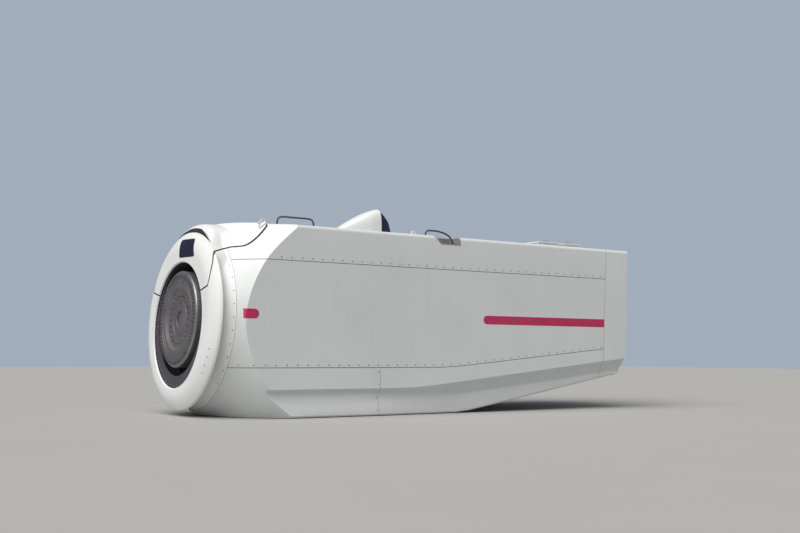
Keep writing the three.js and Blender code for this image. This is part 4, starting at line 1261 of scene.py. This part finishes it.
def inlet_louvre():
    """The louvre that fills the inlet and follows the collar's dome a little below its face."""
    start, end = INLET["x"] - 0.06, INLET["x"] + 0.13
    flush = collar(INLET["sunk"])
    louvre = plate_yz("inlet_louvre", inlet_outline(0.001), start, end)
    cut(louvre, plate_yz("way", inlet_outline(INLET["wall"]), start - 0.1, end - 0.012))
    common(louvre, flush, keep=True)
    low, high = INLET["low"], INLET["high"]
    pitch = (high - low) / (INLET["slats"] + 1)
    y0, y1 = INLET_CORNERS[2][0] - 0.1, INLET_CORNERS[0][0] + 0.1
    bars = slats(
        "bars", INLET["slats"], (INLET["x"] - 0.02, (y0 + y1) / 2, low + pitch), (0.008, 0.0, pitch),
        (0.1, y1 - y0, 0.006), -LOUVRE_TURN)
    common(bars, plate_yz("reach", inlet_outline(0.012), start - 0.002, end - 0.002))
    common(bars, flush)
    backing = plate_yz("backing", inlet_outline(0.002), start, end - 0.001)
    common(backing, collar(INLET["sunk"] + 0.008))
    coat(louvre, "dark_grille")
    coat(backing, "dark_grille")
    join(louvre, backing)
    return join(louvre, bars)


def tail_louvre():
    """The louvre in the tail panel, with posts that carry its slats."""
    grille, border = TAIL_GRILLE, TAIL_GRILLE["border"]
    front = TAIL_SHEET["front"]
    louvre = tail_sheet(grille, PANEL_GAP, front - 0.006, TAIL_SHEET["back"] + 0.006)
    cut(louvre, tail_sheet(grille, border, front - 0.02, -0.2))
    coat(louvre, "dark_grille")
    pitch = (grille["high"] - grille["low"] - 2 * border) / (grille["slats"] + 1)
    first = grille["low"] + border + pitch
    middle = (grille["low"] + grille["high"]) / 2
    join(louvre, slats(
        "tail_bars", grille["slats"], (tail_face_at(first) - 0.053, 0.0, first),
        (pitch * TAIL_RAKE, 0.0, pitch), (0.004, 2 * grille["half"] - 0.06, 0.045), LOUVRE_TURN))
    return join(louvre, slats(
        "tail_posts", grille["posts"], (tail_face_at(middle) - 0.054, -grille["between"], middle),
        (0.0, grille["between"], 0.0), (0.014, 0.03, 1.04), math.atan(TAIL_RAKE)))


class NACELLE_OT_grilles(bpy.types.Operator):
    """Builds the louvres of the inlet in the collar and of the outlet in the tail"""

    bl_idname = "nacelle.grilles"
    bl_label = "Inlet and tail louvres"

    def execute(self, context):
        dress_whole(place(inlet_louvre()), "dark_grille", "housing", ("inlet_grille",), 20)
        dress_whole(place(tail_louvre()), "dark_grille", "housing", ("tail_grille",), 20)
        return {"FINISHED"}


# Roof vent


def vent_section(x, outline_at, shrink, steps=36):
    """An upright section of the vent: steep sides under a rounded top."""
    t = (outline_at - VENT["x0"]) / (VENT["x1"] - VENT["x0"])
    height = VENT["height"] * (1 - (1 - t) ** VENT["swell"]) - shrink
    half = VENT["half"] * (0.25 + 0.75 * math.sqrt(min(t * 1.3, 1))) - shrink
    sill = BODY_HEIGHT + VENT["sill"]
    ring = []
    for i in range(steps + 1):
        angle = math.pi * i / steps
        up = max(height, 0.006) * max(math.sin(angle), 0.0) ** VENT["steep"]
        across = math.copysign(abs(math.cos(angle)) ** VENT["steep"], math.cos(angle))
        ring.append((x, VENT["y"] + half * across, sill + up))
    return ring + [(x, VENT["y"] + side * half, sill - 0.06) for side in (-1, 1)]


def vent_prism(name, x0, x1, shrink):
    return loft(name, [vent_section(x, VENT["x1"], shrink) for x in (x0, x1)])


def vent_louvre():
    """The louvre behind the hood, with a face that slopes down to the roof."""
    x1, x2, y, half = (VENT[key] for key in ("x1", "x2", "y", "half"))
    top = BODY_HEIGHT + VENT["height"]
    slope = [
        (x1 - 0.06, BODY_HEIGHT - 0.04), (x2 + 0.06, BODY_HEIGHT - 0.04), (x2, BODY_HEIGHT + 0.06),
        (x2 - 0.06, BODY_HEIGHT + 0.5 * VENT["height"]), (x1 + 0.03, top), (x1 - 0.06, top),
    ]
    outlet = vent_prism("outlet", x1 - 0.04, x2 + 0.04, VENT["wall"] + 0.0005)
    common(outlet, plate_xz("slope", slope, y - half, y + half))
    core = twin(outlet, "vent_grille_louvres")
    core.data.transform(Matrix.Translation((-0.012, 0, 0)))
    coat(core, "dark_grille")
    bars = slats(
        "vent_bars", VENT["slats"], (x1 + 0.06, y, top - 0.08), (0.027, 0.0, -0.05), (0.09, 2 * half, 0.008),
        math.radians(24))
    return join(core, common(bars, outlet))


class NACELLE_OT_vent(bpy.types.Operator):
    """Builds the streamlined roof vent and the louvred grille behind it"""

    bl_idname = "nacelle.vent"
    bl_label = "Roof vent"

    def execute(self, context):
        steps = 30
        stations = [mix(VENT["x0"], VENT["x1"], (i / steps) ** 1.6) for i in range(steps + 1)]
        hood = loft("vent_hood_skin", [vent_section(x, x, 0.0) for x in stations])
        cut(hood, vent_prism("mouth", VENT["x1"] - 0.055, VENT["x1"] + 0.02, VENT["wall"] - 0.02))
        roof = body_form(-SEAT_GAP)
        cut(hood, roof, keep=True)
        dress_whole(place(hood), "nose_gelcoat", "housing", ("vent_hood",), 34)
        louvre = cut(vent_louvre(), roof)
        dress_whole(place(louvre), "dark_grille", "housing", ("vent_grille",), 20)
        return {"FINISHED"}


# Roof fittings


def rounded_path(points, rounds=4):
    """Cuts the corners of a path again and again, and keeps its ends."""
    path = [Vector(point) for point in points]
    for _ in range(rounds):
        finer = [path[0]]
        for a, b in zip(path, path[1:]):
            finer += [a.lerp(b, 0.25), a.lerp(b, 0.75)]
        path = finer + [path[-1]]
    return path


def tube(name, points, y, radius=RAIL_RADIUS, steps=20):
    """A bar bent in an upright plane, along rounded (x, z) points."""
    path = rounded_path(points)
    rings = []
    for i, spot in enumerate(path):
        along = (path[min(i + 1, len(path) - 1)] - path[max(i - 1, 0)]).normalized()
        rings.append([
            (spot.x - along.y * across, y + out, spot.y + along.x * across)
            for across, out in circle(steps, radius)])
    return loft(name, rings)


def tray_rail(name, y, roof, tray_floor):
    """A rail that stands on the roof ahead of the tray and bends down to the tray's floor."""
    x0, x1, foot = TRAY_RAIL["x0"], TRAY_RAIL["x1"], roof_at(y)
    top = foot + TRAY_RAIL["height"]
    rail = tube(name, (
        (x0, foot - RAIL_SUNK), (x0, top - 0.06), (x0 + 0.06, top), (x0 + 0.2, top), (x1 - 0.43, top),
        (x1 - 0.15, top - 0.06), (x1 - 0.02, top - 0.19), (x1, tray_floor - 0.02),
    ), y)
    cut(rail, common(twin(roof, "front"), zone(x1=TRAY["start"], z0=ROOF_ZONE)))
    return cut(rail, zone(TRAY["start"], TRAY["end"], z0=ROOF_ZONE, z1=tray_floor + 0.0005))


def front_rail(name, y, roof):
    x0, x1, foot = FRONT_RAIL["x0"], FRONT_RAIL["x1"], roof_at(y)
    top = foot + FRONT_RAIL["height"]
    rail = tube(name, (
        (x0, foot - RAIL_SUNK), (x0, top - 0.07), (x0 + 0.07, top), (x0 + 0.3, top),
        (x1 - 0.3, top), (x1 - 0.07, top), (x1, top - 0.07), (x1, foot - RAIL_SUNK),
    ), y)
    return cut(rail, roof, keep=True)


def tray_treads(name, side, tray_floor):
    inner, outer = side * (HALF_WIDTH - TRAY["reach"] + 0.06), side * (HALF_WIDTH - 0.1)
    start = (TRAY["start"] + TRAY["slant"] + TRAY_TREADS["first"], (inner + outer) / 2, tray_floor + 0.004)
    size = (TRAY_TREADS["width"], abs(outer - inner), TRAY_TREADS["height"])
    step = (TRAY_TREADS["pitch"], 0.0, 0.0)
    return slats(name, TRAY_TREADS["count"], start, step, size, 0.0, "tray_lining")


def lug(name, x, y, roof, over_pad, over_studs):
    """A lifting ear with its eye, on a pad with four studs that follows the roof."""
    pad_top = roof_at(y, crown_at(x)) + LUG["pad"]
    eye = (x, pad_top + LUG["rise"])
    deep, high = pad_top - 0.3, pad_top + 0.1
    foot, half = LUG["foot"], LUG["thickness"] / 2
    outline = [(x - foot, deep), (x + foot, deep), (x + foot, pad_top - 0.02)]
    outline += arc(eye, LUG["head"], 0, 180, 20)
    outline.append((x - foot, pad_top - 0.02))
    ear = plate_xz(name, outline, y - half, y + half)
    cut(ear, plate_xz("eye", arc(eye, LUG["eye"], 0, 354, 59), y - 0.1, y + 0.1))
    run, width = LUG["length"] / 2, LUG["width"] / 2
    outline = rounded_box(x - run, x + run, y - width, y + width, LUG["corner"], 5)
    pad = loft("pad", [[(px, py, z) for px, py in outline] for z in (deep, high)])
    common(pad, over_pad, keep=True)
    coat(ear, "lug_paint")
    coat(pad, "nose_gelcoat")
    for stud_x in (x - LUG_STUDS["along"], x + LUG_STUDS["along"]):
        for stud_y in (y - LUG_STUDS["across"], y + LUG_STUDS["across"]):
            stud = upright("stud", stud_x, stud_y, deep, high, LUG_STUDS["radius"], 6)
            common(stud, over_studs, keep=True)
            coat(stud, "galvanised_steel")
            join(pad, stud)
    join(ear, pad)
    return cut(ear, roof, keep=True)


def lid_field(name, x0, x1, y0, y1, base):
    """The raised field of a hatch lid, with a soft edge."""
    rings = []
    for shrink, up in ((0.0, -0.004), (0.0, 0.006), (0.018, 0.014), (0.03, 0.016)):
        outline = rounded_box(x0, x1, y0, y1, LID["corner"], 6, shrink)
        rings.append([(x, y, base + up) for x, y in outline])
    return loft(name, rings)


def lid_grip(name, x, y, base):
    half, straight, top = LID_GRIP["half"], LID_GRIP["straight"], base + LID_GRIP["rise"]
    path = [(x - half, base + 0.01), (x - half, top - 0.005), (x - straight, top)]
    path += [(x + straight, top), (x + half, top - 0.005), (x + half, base + 0.01)]
    return tube(name, path, y, LID_GRIP["radius"], 14)


class NACELLE_OT_roof(bpy.types.Operator):
    """Builds the handrails, the lifting lugs, the tray treads and the trims of the hatch lids"""

    bl_idname = "nacelle.roof"
    bl_label = "Roof fittings"

    def execute(self, context):
        heights = (SEAT_GAP, LUG["pad"], LUG["pad"] + LUG_STUDS["height"])
        roof, over_pad, over_studs = (body_form(-height) for height in heights)
        tray_floor = BODY_HEIGHT - TRAY["depth"] + TRAY["lining"]
        for name, side in SIDES:
            rail = tray_rail(f"tray_rail_{name}_bar", side * TRAY_RAIL["y"], roof, tray_floor)
            dress_whole(place(rail), "rail_paint", "housing", (f"tray_rail_{name}",), 50)
            rail = front_rail(f"front_rail_{name}_bar", side * FRONT_RAIL["y"], roof)
            dress_whole(place(rail), "rail_paint", "housing", (f"front_rail_{name}",), 50)
            dress(place(tray_treads(f"tray_treads_{name}", side, tray_floor)))
            for end, x, reach in LUG_PLACES:
                node = f"lifting_lug_{end}_{name}"
                ear = lug(f"{node}_ear", x, side * reach, roof, over_pad, over_studs)
                dress(place(ear), "housing", (node,))
        for form in (roof, over_pad, over_studs):
            discard(form)

        base = roof_at(HATCH_SIDES[1]) + HATCH_RISE + LID["clearance"] + LID["thickness"]
        border = LID["border"]
        low, high = HATCH_SIDES[0] + border, HATCH_SIDES[1] - LID["hinge_side"]
        for (name, x0, x1), body in zip(HATCHES, ("front_lid", "back_lid")):
            field = lid_field(f"{name}_lid_field", x0 + border, x1 - border, low, high, base)
            dress_whole(place(field), "nose_gelcoat", body)
            grip = lid_grip(f"{name}_lid_grip", (x0 + x1) / 2, low + LID_GRIP["in"], base)
            dress_whole(place(grip), "galvanised_steel", body, (), 50)
        return {"FINISHED"}


class NACELLE_OT_edges(bpy.types.Operator):
    """Rounds the edges of the solids that keep their own shape"""

    bl_idname = "nacelle.edges"
    bl_label = "Rounded edges"

    def execute(self, context):
        for name, node in frame["nodes"].items():
            width = next((size for start, size in SOFT_EDGES.items() if name.startswith(start)), None)
            if width is None:
                continue
            step = node.modifiers.new("edges", "BEVEL")
            step.width = width
            step.segments = 3
            step.limit_method = "ANGLE"
            step.angle_limit = math.radians(35)
            shade = node.modifiers.new("shading", "WEIGHTED_NORMAL")
            shade.keep_sharp = True
        return {"FINISHED"}


# Stage


def soft_world(fill, backdrop):
    """Even light all round, with its own colour where the camera sees past the floor."""
    world = bpy.data.worlds.new("soft_light")
    world.use_nodes = True
    tree = world.node_tree
    light = tree.nodes["Background"]
    light.inputs["Color"].default_value = (0.86, 0.91, 1.0, 1.0)
    light.inputs["Strength"].default_value = fill
    seen = add_node(tree, "ShaderNodeBackground", {"Color": (*backdrop, 1.0)})
    paths = tree.nodes.new("ShaderNodeLightPath")
    both = add_node(tree, "ShaderNodeMixShader", {
        0: paths.outputs["Is Camera Ray"], 1: light.outputs["Background"], 2: seen.outputs["Background"]})
    tree.links.new(both.outputs["Shader"], tree.nodes["World Output"].inputs["Surface"])
    return world


def camera_turn(yaw, pitch, roll):
    """The camera's axes from its turn, its rise and its roll about the line of sight."""
    forward = Vector((math.cos(pitch) * math.sin(yaw), math.cos(pitch) * math.cos(yaw), math.sin(pitch)))
    level = Vector((math.cos(yaw), -math.sin(yaw), 0.0))
    above = level.cross(forward)
    right = level * math.cos(roll) + above * math.sin(roll)
    up = above * math.cos(roll) - level * math.sin(roll)
    return Matrix((right, up, -forward)).transposed().to_4x4()


class NACELLE_OT_stage(bpy.types.Operator):
    """Sets the floor, the soft light and the camera"""

    bl_idname = "nacelle.stage"
    bl_label = "Floor, light and camera"

    def execute(self, context):
        scene = context.scene
        stage = scene.nacelle_stage
        floor = loft("floor", [
            [(-90, -90, z), (90, -90, z), (90, 90, z), (-90, 90, z)] for z in (-0.06, -0.01)])
        colour = tuple(stage.floor)
        paint = Paint("floor_paint", colour, 0.85)
        paint.surface("Base Color", paint.blend(paint.noise(0.4, 4.0), colour, tinted(colour, 0.94)))
        floor.data.materials.append(paint.material)

        key = bpy.data.lights.new("key_light", "SUN")
        key.energy = stage.sun
        key.angle = math.radians(60)
        key.color = (1.0, 0.985, 0.955)
        lamp = bpy.data.objects.new("key_light", key)
        lamp.rotation_euler = Vector((-0.52, -0.24, 0.82)).to_track_quat("Z", "Y").to_euler()
        scene.collection.objects.link(lamp)
        scene.world = soft_world(stage.fill, stage.backdrop)
        scene.view_settings.view_transform = "Standard"

        lens = bpy.data.cameras.new("camera")
        lens.lens = stage.lens
        lens.sensor_width = 36
        lens.clip_end = 400
        camera = bpy.data.objects.new("camera", lens)
        turn = camera_turn(stage.yaw, stage.pitch, stage.roll)
        camera.matrix_world = Matrix.Translation(Vector(stage.place)) @ turn
        scene.collection.objects.link(camera)
        scene.camera = camera
        return {"FINISHED"}


class NACELLE_PT_panel(bpy.types.Panel):
    """Shows a button for each building step, and the settings of sizes, colours and stage"""

    bl_label = "Nacelle"
    bl_idname = "NACELLE_PT_panel"
    bl_space_type = "VIEW_3D"
    bl_region_type = "UI"
    bl_category = "Nacelle"

    def draw(self, context):
        for step in STEPS:
            self.layout.operator(step.bl_idname)
        scene = context.scene
        for group in (scene.nacelle_sizes, scene.nacelle_colours, scene.nacelle_stage):
            box = self.layout.box()
            for name in group.__annotations__:
                box.prop(group, name)


STEPS = (
    NACELLE_OT_finishes,
    NACELLE_OT_housing,
    NACELLE_OT_stripes,
    NACELLE_OT_bolts,
    NACELLE_OT_flange,
    NACELLE_OT_grilles,
    NACELLE_OT_vent,
    NACELLE_OT_roof,
    NACELLE_OT_edges,
    NACELLE_OT_stage,
)
GROUPS = (NacelleSizes, NacelleColours, NacelleStage)


def register():
    for group in (*GROUPS, *STEPS, NACELLE_PT_panel):
        bpy.utils.register_class(group)
    bpy.types.Scene.nacelle_sizes = PointerProperty(type=NacelleSizes)
    bpy.types.Scene.nacelle_colours = PointerProperty(type=NacelleColours)
    bpy.types.Scene.nacelle_stage = PointerProperty(type=NacelleStage)


def unregister():
    del bpy.types.Scene.nacelle_stage
    del bpy.types.Scene.nacelle_colours
    del bpy.types.Scene.nacelle_sizes
    for group in reversed((*GROUPS, *STEPS, NACELLE_PT_panel)):
        bpy.utils.unregister_class(group)


def main():
    register()
    for step in STEPS:
        category, name = step.bl_idname.split(".")
        getattr(getattr(bpy.ops, category), name)()


if __name__ == "__main__":
    main()
